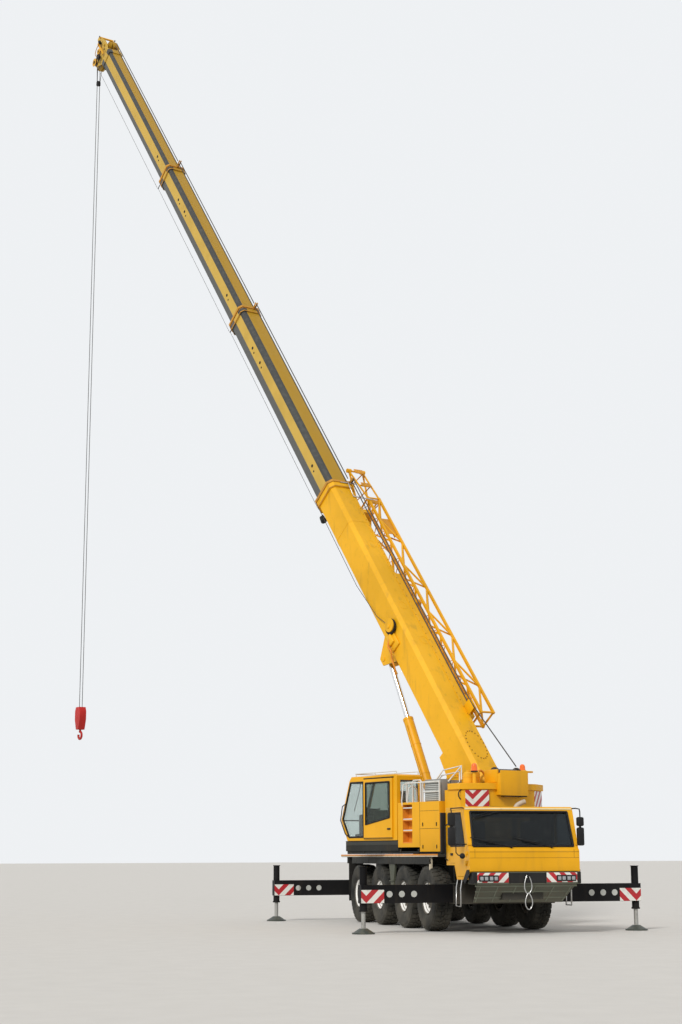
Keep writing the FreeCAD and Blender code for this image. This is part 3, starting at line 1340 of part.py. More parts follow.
def section(number):
    """Telescoping section n with its collar, and the head on the last."""
    start = f"(base_tip + {number - 1} * section_pitch - section_overlap)"
    tip = f"(base_tip + {number} * section_pitch)"
    tube = section_bar(f"tube_{number}", number, "0", start, tip)
    slider = section_bar(f"slider_{number}", number, "section_step - boom_wall - running_gap", start, f"{start} + slider_length")
    collar = section_bar(f"collar_{number}", number, "collar_lip", f"{tip} - collar_length", tip)
    bore = section_bar(f"tube_bore_{number}", number, "-boom_wall", f"{start} - 5", f"{tip} - collar_length")
    throat = section_bar(f"throat_{number}", number + 1, "running_gap", f"{tip} - collar_length - 10", f"{tip} + 10")
    blocks = fuse(f"tube_blocks_{number}", [tube, slider, collar])
    return cut(f"tube_form_{number}", blocks, [bore, throat] if number < 3 else [bore]), tip


def boom_head(tip):
    """The head: an end plate, two cheeks, and the sheaves on their pins."""
    half = "(boom_width / 2 - 3 * section_step)"
    rise = "(boom_depth / 2 - 3 * section_step)"
    pin_along = f"({tip} + head_length - head_pin_back)"
    parts = []
    for side, sign in SIDES:
        inner, outer = (f"{half} - head_plate", half)
        across = (inner, outer) if sign > 0 else (f"-({outer})", f"-({inner})")
        parts.append(
            panel(
                "head_cheek_" + side,
                "xz",
                [
                    (f"{tip} - 5", f"boom_axis + {rise} - 40"),
                    (f"{tip} + 250", f"boom_axis + {rise} + 60"),
                    (f"{tip} + 560", f"boom_axis + {rise} + 60"),
                    (f"{tip} + head_length", f"boom_axis + {rise} - 120"),
                    (f"{tip} + head_length", f"boom_axis + {rise} - 120 - head_horn"),
                    (f"{pin_along} + 190", "boom_axis - 60"),
                    (f"{pin_along} + 140", "boom_axis - head_drop - 60"),
                    (f"{pin_along} + 60", "boom_axis - head_drop - 110"),
                    (f"{pin_along} - 120", "boom_axis - head_drop - 110"),
                    (f"{tip} - 5", f"boom_axis - {rise} + 40"),
                ],
                *across,
            )
        )
    low = (pin_along, "boom_axis - head_drop")
    top = (f"{tip} + 400", f"boom_axis + {rise} - 60")
    for name, (along, up), radius in (("low", low, "sheave_radius"), ("top", top, "guide_radius")):
        parts.append(rod(f"head_pin_{name}", "y", (along, f"-{half} - head_pin_end", up), "head_pin_radius", f"2 * ({half} + head_pin_end)"))
        for number, across in enumerate(("-rope_spread / 2", "rope_spread / 2")):
            parts.append(rod(f"sheave_{name}_{number}", "y", (along, f"{across} - sheave_width / 2", up), radius, "sheave_width"))
    return parts


for number in (1, 2, 3):
    tube, tip = section(number)
    extra = boom_head(tip) if number == 3 else []
    node(f"boom_section_{number}", [fuse(f"section_form_{number}", [tube] + extra) if extra else tube], BOOM)

# Luffing cylinder, in a frame with X from its lower pin to its upper pin
foot_eye = UPPER.multVec(Vector(-size("foot_eye_back"), 0, size("foot_eye_height")))
head_eye = BOOM.multVec(Vector(size("eye_along"), 0, size("boom_axis") - size("eye_drop")))
reach = (head_eye - foot_eye).Length
flat = math.hypot(head_eye.x - foot_eye.x, head_eye.y - foot_eye.y)
lean = math.degrees(math.atan2(head_eye.z - foot_eye.z, flat))
CYLINDER = Placement(
    foot_eye,
    Rotation(Vector(0, 0, 1), size("slew_angle")).multiply(Rotation(Vector(0, 1, 0), -lean)),
)
barrel = rod("barrel_tube", "x", ("eye_radius", "0", "0"), "barrel_radius", "barrel_length - eye_radius")
barrel_eye = rod("barrel_eye", "y", ("0", "-eye_width / 2", "0"), "eye_radius + 30", "eye_width")
barrel_bore = rod("barrel_bore", "x", ("eye_radius + 80", "0", "0"), "barrel_radius - 22", "barrel_length")
gland = rod("gland", "x", ("barrel_length - 60", "0", "0"), "barrel_radius + 6", "60")
gland_bore = rod("gland_bore", "x", ("barrel_length - 120", "0", "0"), "rod_radius + running_gap", "140")
barrel_pin_hole = rod("barrel_pin_hole", "y", ("0", "-eye_width", "0"), "60 + running_gap", "2 * eye_width")
tube_open = cut("barrel_open", fuse("barrel_blocks", [barrel, barrel_eye]), [barrel_bore])
node("luff_barrel", [cut("luff_barrel_form", fuse("barrel_with_gland", [tube_open, gland]), [gland_bore, barrel_pin_hole])], CYLINDER)
rod_bar = rod("rod_bar", "x", ("barrel_length - piston_back", "0", "0"), "rod_radius", f"{reach} - barrel_length + piston_back")
piston = rod("piston", "x", ("barrel_length - piston_back", "0", "0"), "barrel_radius - 22 - running_gap", "120")
rod_eye = rod("rod_eye", "y", (f"{reach}", "-eye_width / 2", "0"), "eye_radius", "eye_width")
rod_hole = rod("rod_hole", "y", (f"{reach}", "-eye_width", "0"), "56", "2 * eye_width")
node("luff_rod", [cut("luff_rod_form", fuse("rod_blocks", [rod_bar, piston, rod_eye]), [rod_hole])], CYLINDER)

# Hoist rope and hook block, hanging under the lower head sheaves
head_pin = BOOM.multVec(
    Vector(
        size("base_tip") + 3 * size("section_pitch") + size("head_length") - size("head_pin_back"),
        0,
        size("boom_axis") - size("head_drop"),
    )
)
HANG = Placement(Vector(head_pin.x, head_pin.y, 0), Rotation(Vector(0, 0, 1), size("slew_angle")))
fall_x = "sheave_radius + rope_radius"
falls = [
    rod(f"fall_{number}", "z", (fall_x, f"{across} * rope_spread / 2", "block_top + running_gap"), "rope_radius", f"{head_pin.z} - block_top - running_gap")
    for number, across in enumerate((-1, 1))
]
node("hoist_rope", falls, HANG)
block_half = "block_length / 2"
block_low = "block_top - block_height"
cheek_outline = [
    (f"{fall_x} - {block_half} + 60", "block_top"),
    (f"{fall_x} + {block_half} - 60", "block_top"),
    (f"{fall_x} + {block_half}", "block_top - 140"),
    (f"{fall_x} + {block_half}", "block_top - 420"),
    (f"{fall_x} + 90", block_low),
    (f"{fall_x} - 90", block_low),
    (f"{fall_x} - {block_half}", "block_top - 420"),
    (f"{fall_x} - {block_half}", "block_top - 140"),
]
block_body = panel("block_body", "xz", cheek_outline, "-block_width / 2", "block_width / 2")
shank = rod("shank", "z", (fall_x, "0", f"{block_low} - 70"), "36", "90")
bowl = doc.addObject("Part::Torus", "hook_ring")
bowl.Placement = Placement(Vector(), Rotation(Vector(1, 0, 0), 90))
bind(bowl, Radius1="hook_bowl + hook_wire", Radius2="hook_wire")
place(bowl, fall_x, "0", f"{block_low} - 70 - hook_bowl - hook_wire")
mouth = box(
    "hook_mouth",
    (f"{fall_x} + 25", f"{fall_x} + hook_bowl + 3 * hook_wire"),
    ("-2 * hook_wire", "2 * hook_wire"),
    (f"{block_low} - 70 - hook_bowl - hook_wire + 30", f"{block_low} - 70 + hook_wire"),
)
node("hook_block", [fuse("hook_form", [block_body, shank, cut("hook_open", bowl, [mouth])])], HANG)

# Stowed lattice jib on the boom's right flank
jib_parts = []
JIB_ROWS = [("near", "-jib_inner"), ("far", "-jib_outer")]
JIB_LEVELS = [("low", "jib_low"), ("high", "jib_high")]
for row, across in JIB_ROWS:
    for level, up in JIB_LEVELS:
        jib_parts.append(
            box(
                f"chord_{row}_{level}",
                ("jib_rear", "jib_front"),
                (f"{across} - jib_chord / 2", f"{across} + jib_chord / 2"),
                (f"{up} - jib_chord / 2", f"{up} + jib_chord / 2"),
            )
        )


def brace(name, start, end):
    """A square strut between two points of the boom's frame."""
    one = Vector(*[amount(text) for text in start])
    two = Vector(*[amount(text) for text in end])
    made = doc.addObject("Part::Box", name)
    made.Length = (two - one).Length
    bind(made, Width="jib_brace", Height="jib_brace")
    turn = Rotation(Vector(1, 0, 0), two - one)
    half = size("jib_brace") / 2
    made.Placement = Placement(one, turn).multiply(Placement(Vector(0, -half, -half), Rotation()))
    return made


BAYS = 9
for bay in range(BAYS + 1):
    here = f"jib_rear + jib_chord / 2 + {bay} * (jib_front - jib_rear - jib_chord) / {BAYS}"
    there = f"jib_rear + jib_chord / 2 + {bay + 1} * (jib_front - jib_rear - jib_chord) / {BAYS}"
    up = ("jib_low", "jib_high") if bay % 2 == 0 else ("jib_high", "jib_low")
    side = ("-jib_inner", "-jib_outer") if bay % 2 == 0 else ("-jib_outer", "-jib_inner")
    if bay in (0, BAYS):
        for row, across in JIB_ROWS:
            jib_parts.append(brace(f"end_post_{row}_{bay}", (here, across, "jib_low"), (here, across, "jib_high")))
        for level, height in JIB_LEVELS:
            jib_parts.append(brace(f"end_bar_{level}_{bay}", (here, "-jib_inner", height), (here, "-jib_outer", height)))
    if bay < BAYS:
        for row, across in JIB_ROWS:
            jib_parts.append(brace(f"side_brace_{row}_{bay}", (here, across, up[0]), (there, across, up[1])))
        for level, height in JIB_LEVELS:
            jib_parts.append(brace(f"flat_brace_{level}_{bay}", (here, side[0], height), (there, side[1], height)))

# The fork at the jib's front end: an arm from every chord to a tip beside it, and a tie between the tips
fork_up = "jib_high - fork_drop"
FORK_ROWS = [("near", "-jib_inner", "-jib_inner + fork_spread"), ("far", "-jib_outer", "-jib_outer - fork_spread")]
for row, across, tip_across in FORK_ROWS:
    for level, up in JIB_LEVELS:
        jib_parts.append(brace(f"fork_arm_{row}_{level}", ("jib_front - 30", across, up), ("jib_front + fork_reach", tip_across, fork_up)))
    eye_low = f"{tip_across} - jib_chord"
    jib_parts.append(rod(f"fork_eye_{row}", "y", ("jib_front + fork_reach", eye_low, fork_up), "jib_chord", "2 * jib_chord"))
for number, share in enumerate((0.45, 1)):
    here = f"jib_front + {share} * fork_reach"
    jib_parts.append(
        brace(
            f"fork_tie_{number}",
            (here, f"-jib_inner + {share} * fork_spread", f"jib_high - {share} * fork_drop"),
            (here, f"-jib_outer - {share} * fork_spread", f"jib_high - {share} * fork_drop"),
        )
    )

# Brackets: two on the rail and one on the boom's bare side
BRACKETS = [
    ("rear", "jib_rear + 600", "rail_width"),
    ("middle", "(jib_rear + jib_front) / 2", "rail_width"),
    ("front", "jib_front - 500", "0"),
]
for name, along, out in BRACKETS:
    jib_parts.append(
        box(
            "jib_bracket_" + name,
            (f"{along} - 60", f"{along} + 60"),
            ("-jib_inner - jib_chord / 2", f"-boom_width / 2 - {out} - running_gap"),
            ("jib_low", "boom_axis + boom_depth / 2 - boom_bevel"),
        )
    )
node("jib", [fuse("jib_form", jib_parts)], BOOM)

# Build everything, then check it before anything is written
doc.recompute()
failed = [one.Name for one in doc.Objects if "Invalid" in one.State or "Error" in one.State]
if failed:
    raise RuntimeError("failed objects: " + ", ".join(failed))
for label, made in nodes.items():
    if made.Shape.isNull() or not made.Shape.isValid() or made.Shape.Volume <= 0:
        raise RuntimeError("bad shape: " + label)

os.makedirs("parts", exist_ok=True)
for label, made in nodes.items():
    made.Shape.exportStep(f"parts/{label}.step")
whole = Part.makeCompound([made.Shape for made in nodes.values()]).BoundBox
print("nodes", len(nodes))
print("whole box", [round(value) for value in (whole.XMin, whole.XMax, whole.YMin, whole.YMax, whole.ZMin, whole.ZMax)])
print("cylinder length", round(reach), "lean", round(lean, 2))
print("foot eye", foot_eye, "head eye", head_eye, "head pin", head_pin)
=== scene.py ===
# %% [markdown]
# A four-axle mobile crane stands on its outriggers with its telescopic boom raised.
# The imported model brings every solid piece in metres, so the first step loads it.

# %% Load the frame
import json
import math
import random
import bmesh
import bpy
from mathutils import Matrix, Vector


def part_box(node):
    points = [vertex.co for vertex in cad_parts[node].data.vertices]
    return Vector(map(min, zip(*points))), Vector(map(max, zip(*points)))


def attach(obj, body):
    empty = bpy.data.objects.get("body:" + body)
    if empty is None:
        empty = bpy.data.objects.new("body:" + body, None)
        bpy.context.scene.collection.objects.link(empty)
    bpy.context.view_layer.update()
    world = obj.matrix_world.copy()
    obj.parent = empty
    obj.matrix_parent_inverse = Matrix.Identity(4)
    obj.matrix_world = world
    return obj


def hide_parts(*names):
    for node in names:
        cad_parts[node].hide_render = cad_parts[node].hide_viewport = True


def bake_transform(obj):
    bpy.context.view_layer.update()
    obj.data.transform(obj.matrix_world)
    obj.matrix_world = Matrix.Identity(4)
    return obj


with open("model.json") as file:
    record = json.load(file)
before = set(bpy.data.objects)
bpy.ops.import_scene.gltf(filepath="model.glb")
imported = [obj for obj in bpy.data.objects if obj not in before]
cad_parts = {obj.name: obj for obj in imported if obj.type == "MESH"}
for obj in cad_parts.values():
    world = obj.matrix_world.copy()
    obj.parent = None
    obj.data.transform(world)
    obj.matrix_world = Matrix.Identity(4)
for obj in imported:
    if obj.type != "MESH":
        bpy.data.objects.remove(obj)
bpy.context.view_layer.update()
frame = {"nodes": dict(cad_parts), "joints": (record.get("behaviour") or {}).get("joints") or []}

# %% [markdown]
# The carrier, the turning superstructure, the boom and the luffing cylinder each have
# their own directions. Working in a local frame keeps the numbers plain: along, to the
# left and up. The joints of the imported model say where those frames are.

# %% Local frames
joints = {joint["name"]: joint for joint in frame["joints"]}


def frame_at(origin, along, left):
    """A 4 by 4 matrix whose X is along, Y is left and Z is up from both."""
    along = Vector(along).normalized()
    up = along.cross(Vector(left)).normalized()
    left = up.cross(along)
    turn = Matrix((along, left, up)).transposed().to_4x4()
    return Matrix.Translation(origin) @ turn


slew = Vector(joints["slewing"]["pos_m"])
boom_left = -Vector(joints["luffing"]["axis"])
boom_ahead = boom_left.cross(Vector((0, 0, 1)))
CARRIER = Matrix.Translation((slew.x, slew.y, 0))
UPPER = frame_at((slew.x, slew.y, 0), boom_ahead, boom_left)
BOOM = frame_at(joints["luffing"]["pos_m"], joints["telescoping_1"]["axis"], boom_left)
CYLINDER = frame_at(joints["cylinder_swing"]["pos_m"], joints["cylinder_stroke"]["axis"], boom_left)
HEAD_PIN = Vector(joints["hook_swing"]["pos_m"])
HANG = frame_at((HEAD_PIN.x, HEAD_PIN.y, 0), boom_ahead, boom_left)


def span(node, place):
    """Lowest and highest corner of a CAD node, measured in a local frame."""
    back = place.inverted()
    points = [back @ vert.co for vert in frame["nodes"][node].data.vertices]
    low = Vector([min(point[axis] for point in points) for axis in range(3)])
    high = Vector([max(point[axis] for point in points) for axis in range(3)])
    return low, high


print("slew centre", slew[:])

# %% [markdown]
# The camera stands low and close to the ground, ahead of the driver's cab, and looks
# up along the boom. Its place was solved from the carrier's known width and wheels.

# %% Camera
CAMERA_OFFSET = Vector((38.23, -13.24, 1.593))
YAW, PITCH, ROLL = math.radians(15.81), math.radians(11.66), math.radians(-0.18)
camera = bpy.data.cameras.new("camera")
camera.sensor_width = 36
camera.lens = 58.64
camera.clip_end = 2000
viewer = bpy.data.objects.new("camera", camera)
bpy.context.scene.collection.objects.link(viewer)
ahead = Vector((-math.cos(YAW) * math.cos(PITCH), math.sin(YAW) * math.cos(PITCH), math.sin(PITCH)))
aim = ahead.to_track_quat("-Z", "Y").to_matrix().to_4x4() @ Matrix.Rotation(ROLL, 4, "Z")
viewer.matrix_world = Matrix.Translation(CARRIER.translation + CAMERA_OFFSET) @ aim
bpy.context.scene.camera = viewer
bpy.context.scene.view_settings.view_transform = "Standard"

# %% [markdown]
# Light comes from a bright overcast sky with a soft sun high behind the camera's left
# shoulder. The floor and the sky are pale only to the camera, so they add no light.

# %% Floor, sky and sun
SKY = (0.86, 0.88, 0.90, 1)
world = bpy.data.worlds.new("studio")
bpy.context.scene.world = world
world.use_nodes = True
sky_nodes = world.node_tree.nodes
sky_links = world.node_tree.links
sky_nodes.clear()
sky_out = sky_nodes.new("ShaderNodeOutputWorld")
sky_light = sky_nodes.new("ShaderNodeBackground")
sky_light.inputs["Color"].default_value = (1.0, 0.985, 0.96, 1)
sky_light.inputs["Strength"].default_value = 0.60
sky_seen = sky_nodes.new("ShaderNodeBackground")
sky_seen.inputs["Color"].default_value = SKY
sky_seen.inputs["Strength"].default_value = 1.0
ray = sky_nodes.new("ShaderNodeLightPath")
seen = sky_nodes.new("ShaderNodeMath")
seen.operation = "MAXIMUM"
seen_all = sky_nodes.new("ShaderNodeMath")
seen_all.operation = "MAXIMUM"
pick = sky_nodes.new("ShaderNodeMixShader")
sky_links.new(ray.outputs["Is Camera Ray"], seen.inputs[0])
sky_links.new(ray.outputs["Is Glossy Ray"], seen.inputs[1])
sky_links.new(seen.outputs[0], seen_all.inputs[0])
sky_links.new(ray.outputs["Is Transmission Ray"], seen_all.inputs[1])
sky_links.new(seen_all.outputs[0], pick.inputs["Fac"])
sky_links.new(sky_light.outputs[0], pick.inputs[1])
sky_links.new(sky_seen.outputs[0], pick.inputs[2])
sky_links.new(pick.outputs[0], sky_out.inputs["Surface"])
sun = bpy.data.lights.new("sun", "SUN")
sun.energy = 2.0
sun.angle = math.radians(12)
sun.color = (1.0, 0.97, 0.92)
sun_object = bpy.data.objects.new("sun", sun)
bpy.context.scene.collection.objects.link(sun_object)
SUN_FROM = Vector((0.62, -0.58, 0.62))
sun_object.matrix_world = SUN_FROM.to_track_quat("Z", "Y").to_matrix().to_4x4()
floor_mesh = bpy.data.meshes.new("floor")
floor_bm = bmesh.new()
bmesh.ops.create_grid(floor_bm, x_segments=1, y_segments=1, size=400)
floor_bm.to_mesh(floor_mesh)
floor_bm.free()
floor = bpy.data.objects.new("floor", floor_mesh)
bpy.context.scene.collection.objects.link(floor)

# %% [markdown]
# Shader maths reads best as Python sums. A Signal wraps a socket, so that 1 - mask adds
# its Math node, and a Finish builds one material from such signals.


# %% Shader helpers
class Signal:
    """A shader socket that takes part in Python sums."""

    def __init__(self, tree, socket):
        self.tree = tree
        self.socket = socket

    def math(self, operation, *others):
        """A Math node on this signal and others."""
        made = self.tree.nodes.new("ShaderNodeMath")
        made.operation = operation
        for slot, value in zip(made.inputs, (self, *others)):
            if isinstance(value, Signal):
                self.tree.links.new(value.socket, slot)
            else:
                slot.default_value = value
        return Signal(self.tree, made.outputs[0])

    def __add__(self, other):
        return self.math("ADD", other)

    def __mul__(self, other):
        return self.math("MULTIPLY", other)

    def __sub__(self, other):
        return self.math("SUBTRACT", other)

    def __rsub__(self, other):
        return self.math("MULTIPLY", -1.0).math("ADD", other)

    def __truediv__(self, other):
        return self.math("DIVIDE", other)

    def __gt__(self, other):
        return self.math("GREATER_THAN", other)

    def __lt__(self, other):
        return self.math("LESS_THAN", other)

    __radd__ = __add__
    __rmul__ = __mul__

    def ramp(self, low, high):
        """0 below low, 1 above high, smooth between them."""
        made = self.tree.nodes.new("ShaderNodeMapRange")
        made.interpolation_type = "SMOOTHSTEP"
        made.inputs["From Min"].default_value = low
        made.inputs["From Max"].default_value = high
        self.tree.links.new(self.socket, made.inputs["Value"])
        return Signal(self.tree, made.outputs["Result"])


class Finish:
    """One material and the nodes that make it."""

    def __init__(self, name):
        self.material = bpy.data.materials.new(name)
        self.material.use_nodes = True
        self.tree = self.material.node_tree
        self.shader = self.tree.nodes["Principled BSDF"]
        self.place = self.node("ShaderNodeTexCoord", {}, {}).outputs["Object"]

    def node(self, kind, settings, inputs):
        """A node with its settings first, then the values or links of its sockets."""
        made = self.tree.nodes.new(kind)
        for name, value in settings.items():
            setattr(made, name, value)
        for name, value in inputs.items():
            socket = made.inputs[name]
            if isinstance(value, Signal):
                self.tree.links.new(value.socket, socket)
            elif isinstance(value, bpy.types.NodeSocket):
                self.tree.links.new(value, socket)
            else:
                socket.default_value = value
        return made

    def along(self, direction, origin):
        """How far a point lies from an origin, along a direction."""
        made = self.node("ShaderNodeVectorMath", {"operation": "DOT_PRODUCT"}, {0: self.place, 1: tuple(direction)})
        return Signal(self.tree, made.outputs["Value"]) - Vector(origin).dot(Vector(direction))

    def noise(self, scale, detail=4.0, stretch=(1, 1, 1), roughness=0.55):
        """Noise between about 0.3 and 0.7."""
        where = self.node("ShaderNodeMapping", {}, {"Vector": self.place, "Scale": stretch}).outputs[0]
        inputs = {"Vector": where, "Scale": scale, "Detail": detail, "Roughness": roughness}
        made = self.node("ShaderNodeTexNoise", {}, inputs)
        return Signal(self.tree, made.outputs["Fac"])

    def blend(self, mask, one, other):
        """One colour where the mask is 0, another where it is 1."""
        inputs = {"Factor": mask, "A": one, "B": other}
        made = self.tree.nodes.new("ShaderNodeMix")
        made.data_type = "RGBA"
        sockets = {"Factor": made.inputs[0], "A": made.inputs[6], "B": made.inputs[7]}
        for name, value in inputs.items():
            if isinstance(value, Signal):
                self.tree.links.new(value.socket, sockets[name])
            elif isinstance(value, bpy.types.NodeSocket):
                self.tree.links.new(value, sockets[name])
            else:
                sockets[name].default_value = value
        return made.outputs[2]

    def set(self, **values):
        """Sets or links the shader's sockets. An underscore stands for a space."""
        for name, value in values.items():
            socket = self.shader.inputs[name.replace("_", " ")]
            if isinstance(value, Signal):
                self.tree.links.new(value.socket, socket)
            elif isinstance(value, bpy.types.NodeSocket):
                self.tree.links.new(value, socket)
            else:
                socket.default_value = value

    def bump(self, height, strength, distance):
        """Feeds a height to the shader's normal."""
        made = self.node("ShaderNodeBump", {}, {"Height": height, "Strength": strength, "Distance": distance})
        self.set(Normal=made.outputs["Normal"])


def rgba(colour):
    """Three numbers as a colour with full alpha."""
    return (*colour, 1.0)


# %% [markdown]
# Crane paint is a satin enamel. Sun and washing leave it uneven, grime runs down it in
# streaks, and dust from the yard settles on whatever is low. One function makes every
# painted finish from those three layers, with the amount of each as its arguments.

# %% Painted finishes
GRIME = (0.10, 0.075, 0.045)
DUST = (0.40, 0.35, 0.28)


def painted(name, colour, roughness=0.42, fade=0.10, grime=0.35, dust=0.45, dust_top=1.5, metal=0.0, shine=0.28):
    """A satin paint with fading, streaks of grime and low dust."""
    finish = Finish(name)
    broad = finish.noise(0.55, detail=3.0)
    fine = finish.noise(7.0, detail=6.0)
    streak = finish.noise(2.2, detail=5.0, stretch=(2.5, 2.5, 0.35))
    faded = tuple(min(1.0, part * (1 + fade) + 0.006) for part in colour)
    deep = tuple(part * (1 - fade) for part in colour)
    base = finish.blend(broad.ramp(0.35, 0.65), rgba(deep), rgba(faded))
    soiled = (streak.ramp(0.52, 0.74) * 0.75 + fine.ramp(0.55, 0.75) * 0.35) * grime
    base = finish.blend(soiled, base, rgba(GRIME))
    height = finish.along((0, 0, 1), (0, 0, 0))
    settled = (1 - height.ramp(0.1, dust_top)) * (fine * 0.6 + 0.45) * dust
    base = finish.blend(settled, base, rgba(DUST))
    finish.set(Base_Color=base, Roughness=fine * 0.18 + (roughness - 0.06) + soiled * 0.25 + settled * 0.3)
    finish.shader.inputs["Metallic"].default_value = metal
    finish.shader.inputs["Specular IOR Level"].default_value = shine
    finish.bump(finish.noise(60.0, detail=2.0) * 0.6 + streak * 0.4, 0.10, 0.004)
    return finish.material


YELLOW = (0.80, 0.395, 0.004)
body_yellow = painted("body_yellow", YELLOW, 0.40, fade=0.06, grime=0.14, dust=0.20, dust_top=1.3)
boom_yellow = painted("boom_yellow", (0.80, 0.415, 0.004), 0.42, fade=0.08, grime=0.28, dust=0)
deck_grey = painted("deck_grey", (0.036, 0.038, 0.034), 0.55, grime=0.4, dust=0.22, dust_top=1.4)
housing_grey = painted("housing_grey", (0.24, 0.24, 0.23), 0.5, grime=0.4, dust=0.2)
bumper_olive = painted("bumper_olive", (0.075, 0.084, 0.060), 0.55, grime=0.4, dust=0.35)
# A lighter copy of the bumper's olive, as painted highlight on the skirt's ribs.
rib_olive_highlight = painted("rib_olive_highlight", (0.17, 0.19, 0.145), 0.5, grime=0.4, dust=0.2)
underbody_black = painted("underbody_black", (0.022, 0.023, 0.021), 0.6, grime=0.3, dust=0.30, dust_top=1.2, shine=0.15)
outrigger_black = painted("outrigger_black", (0.006, 0.006, 0.007), 0.5, grime=0.1, dust=0.03, dust_top=0.9, shine=0.10)
jack_steel = painted("jack_steel", (0.42, 0.42, 0.40), 0.4, grime=0.4, dust=0.5, dust_top=0.5, metal=0.7)


def jack_finish():
    """Bare steel for a jack's tube, and dark worn paint for its pad."""
    finish = Finish("jack_and_pad")
    height = finish.along((0, 0, 1), (0, 0, 0))
    fine = finish.noise(7.0, detail=6.0)
    tube = finish.blend(fine.ramp(0.5, 0.75) * 0.4, rgba((0.40, 0.40, 0.38)), rgba(GRIME))
    pad = finish.blend(fine.ramp(0.4, 0.7) * 0.5, rgba((0.045, 0.055, 0.048)), rgba((0.13, 0.125, 0.09)))
    low = height < 0.115
    finish.set(Base_Color=finish.blend(low, tube, pad), Roughness=fine * 0.2 + 0.38, Metallic=(1 - low) * 0.6)
    return finish.material


jack_paint = jack_finish()
rim_white = painted("rim_white", (0.88, 0.88, 0.86), 0.45, grime=0.15, dust=0.05)
wheel_dark = painted("wheel_dark", (0.04, 0.041, 0.038), 0.5, grime=0.4, dust=0.35, shine=0.15)
hub_grey = painted("hub_grey", (0.035, 0.037, 0.034), 0.5, grime=0.4, dust=0.35, shine=0.15)
cylinder_yellow = painted("cylinder_yellow", (0.76, 0.38, 0.008), 0.40, fade=0.1, grime=0.22, dust=0)
collar_rust = painted("collar_rust", (0.50, 0.24, 0.025), 0.5, fade=0.2, grime=0.45, dust=0)
hook_red = painted("hook_red", (0.50, 0.018, 0.014), 0.42, fade=0.15, grime=0.5, dust=0)
trim_black = painted("trim_black", (0.010, 0.010, 0.011), 0.5, grime=0.1, dust=0.10, shine=0.2)
rail_white = painted("rail_white", (0.66, 0.66, 0.63), 0.4, grime=0.4, dust=0.1)
cream = painted("cream", (0.80, 0.66, 0.36), 0.4, grime=0.25, dust=0.1)
edge_orange = painted("edge_orange", (0.70, 0.25, 0.02), 0.45, grime=0.35, dust=0.2)
edge_pale = painted("edge_pale", (0.62, 0.55, 0.42), 0.5, grime=0.4, dust=0.3)
canister_yellow = painted("canister_yellow", (0.78, 0.40, 0.012), 0.4, grime=0.4, dust=0)
intake_beige = painted("intake_beige", (0.50, 0.44, 0.36), 0.4, grime=0.5, dust=0, shine=0.4)
jib_orange = painted("jib_orange", (0.62, 0.27, 0.012), 0.45, grime=0.45, dust=0)
seam_brown = painted("seam_brown", (0.30, 0.15, 0.012), 0.5, grime=0.5, dust=0)
reflector_grey = painted("reflector_grey", (0.46, 0.48, 0.46), 0.35, grime=0.6, dust=0)


def plain_metal(name, colour, roughness, grime=0.3):
    """Bare or greased metal: mottled roughness over one colour."""
    finish = Finish(name)
    fine = finish.noise(18.0, detail=5.0)
    base = finish.blend(fine.ramp(0.45, 0.75) * grime, rgba(colour), rgba(GRIME))
    finish.set(Base_Color=base, Roughness=fine * 0.2 + (roughness - 0.1))
    finish.shader.inputs["Metallic"].default_value = 1.0
    return finish.material


chrome = plain_metal("chrome", (0.80, 0.80, 0.80), 0.18, grime=0.12)
rope_steel = plain_metal("rope_steel", (0.10, 0.10, 0.10), 0.5, grime=0.6)
bright_steel = plain_metal("bright_steel", (0.55, 0.55, 0.54), 0.32)


def rubber(name, colour, dust):
    """Tyre rubber, with yard dust in its lows."""
    finish = Finish(name)
    broad = finish.noise(3.0, detail=6.0)
    height = finish.along((0, 0, 1), (0, 0, 0))
    settled = (broad.ramp(0.35, 0.7) * 0.6 + (1 - height.ramp(0.0, 0.7)) * 0.5) * dust
    finish.set(Base_Color=finish.blend(settled, rgba(colour), rgba((0.22, 0.20, 0.16))), Roughness=settled * 0.2 + 0.68)
    finish.shader.inputs["Specular IOR Level"].default_value = 0.2
    finish.bump(finish.noise(45.0), 0.25, 0.004)
    return finish.material


tyre_rubber = rubber("tyre_rubber", (0.018, 0.019, 0.018), 0.38)
hose_rubber = rubber("hose_rubber", (0.012, 0.012, 0.012), 0.15)


def trim(name, colour, roughness):
    """Moulded plastic or cloth trim with a fine grain."""
    finish = Finish(name)
    grain = finish.noise(220.0, detail=2.0)
    finish.set(Base_Color=finish.blend(grain.ramp(0.3, 0.7) * 0.3, rgba(colour), rgba(tuple(part * 1.6 for part in colour))))
    finish.shader.inputs["Roughness"].default_value = roughness
    finish.bump(grain, 0.2, 0.002)
    return finish.material


interior_dark = trim("interior_dark", (0.025, 0.026, 0.03), 0.7)
seat_cloth = trim("seat_cloth", (0.05, 0.05, 0.06), 0.9)


def lens(name, colour, glow=0.0):
    """A lamp's lens: coloured, glossy, slightly ribbed."""
    finish = Finish(name)
    ribs = finish.noise(90.0, detail=1.0)
    finish.set(Base_Color=finish.blend(ribs.ramp(0.4, 0.6) * 0.3, rgba(colour), rgba(tuple(part * 0.6 for part in colour))))
    finish.shader.inputs["Roughness"].default_value = 0.15
    finish.shader.inputs["Emission Color"].default_value = rgba(colour)
    finish.shader.inputs["Emission Strength"].default_value = glow
    return finish.material


lens_orange = lens("lens_orange", (0.85, 0.16, 0.02), 0.15)
lens_clear = lens("lens_clear", (0.34, 0.36, 0.38), 0.02)
lens_red = lens("lens_red", (0.55, 0.01, 0.01))


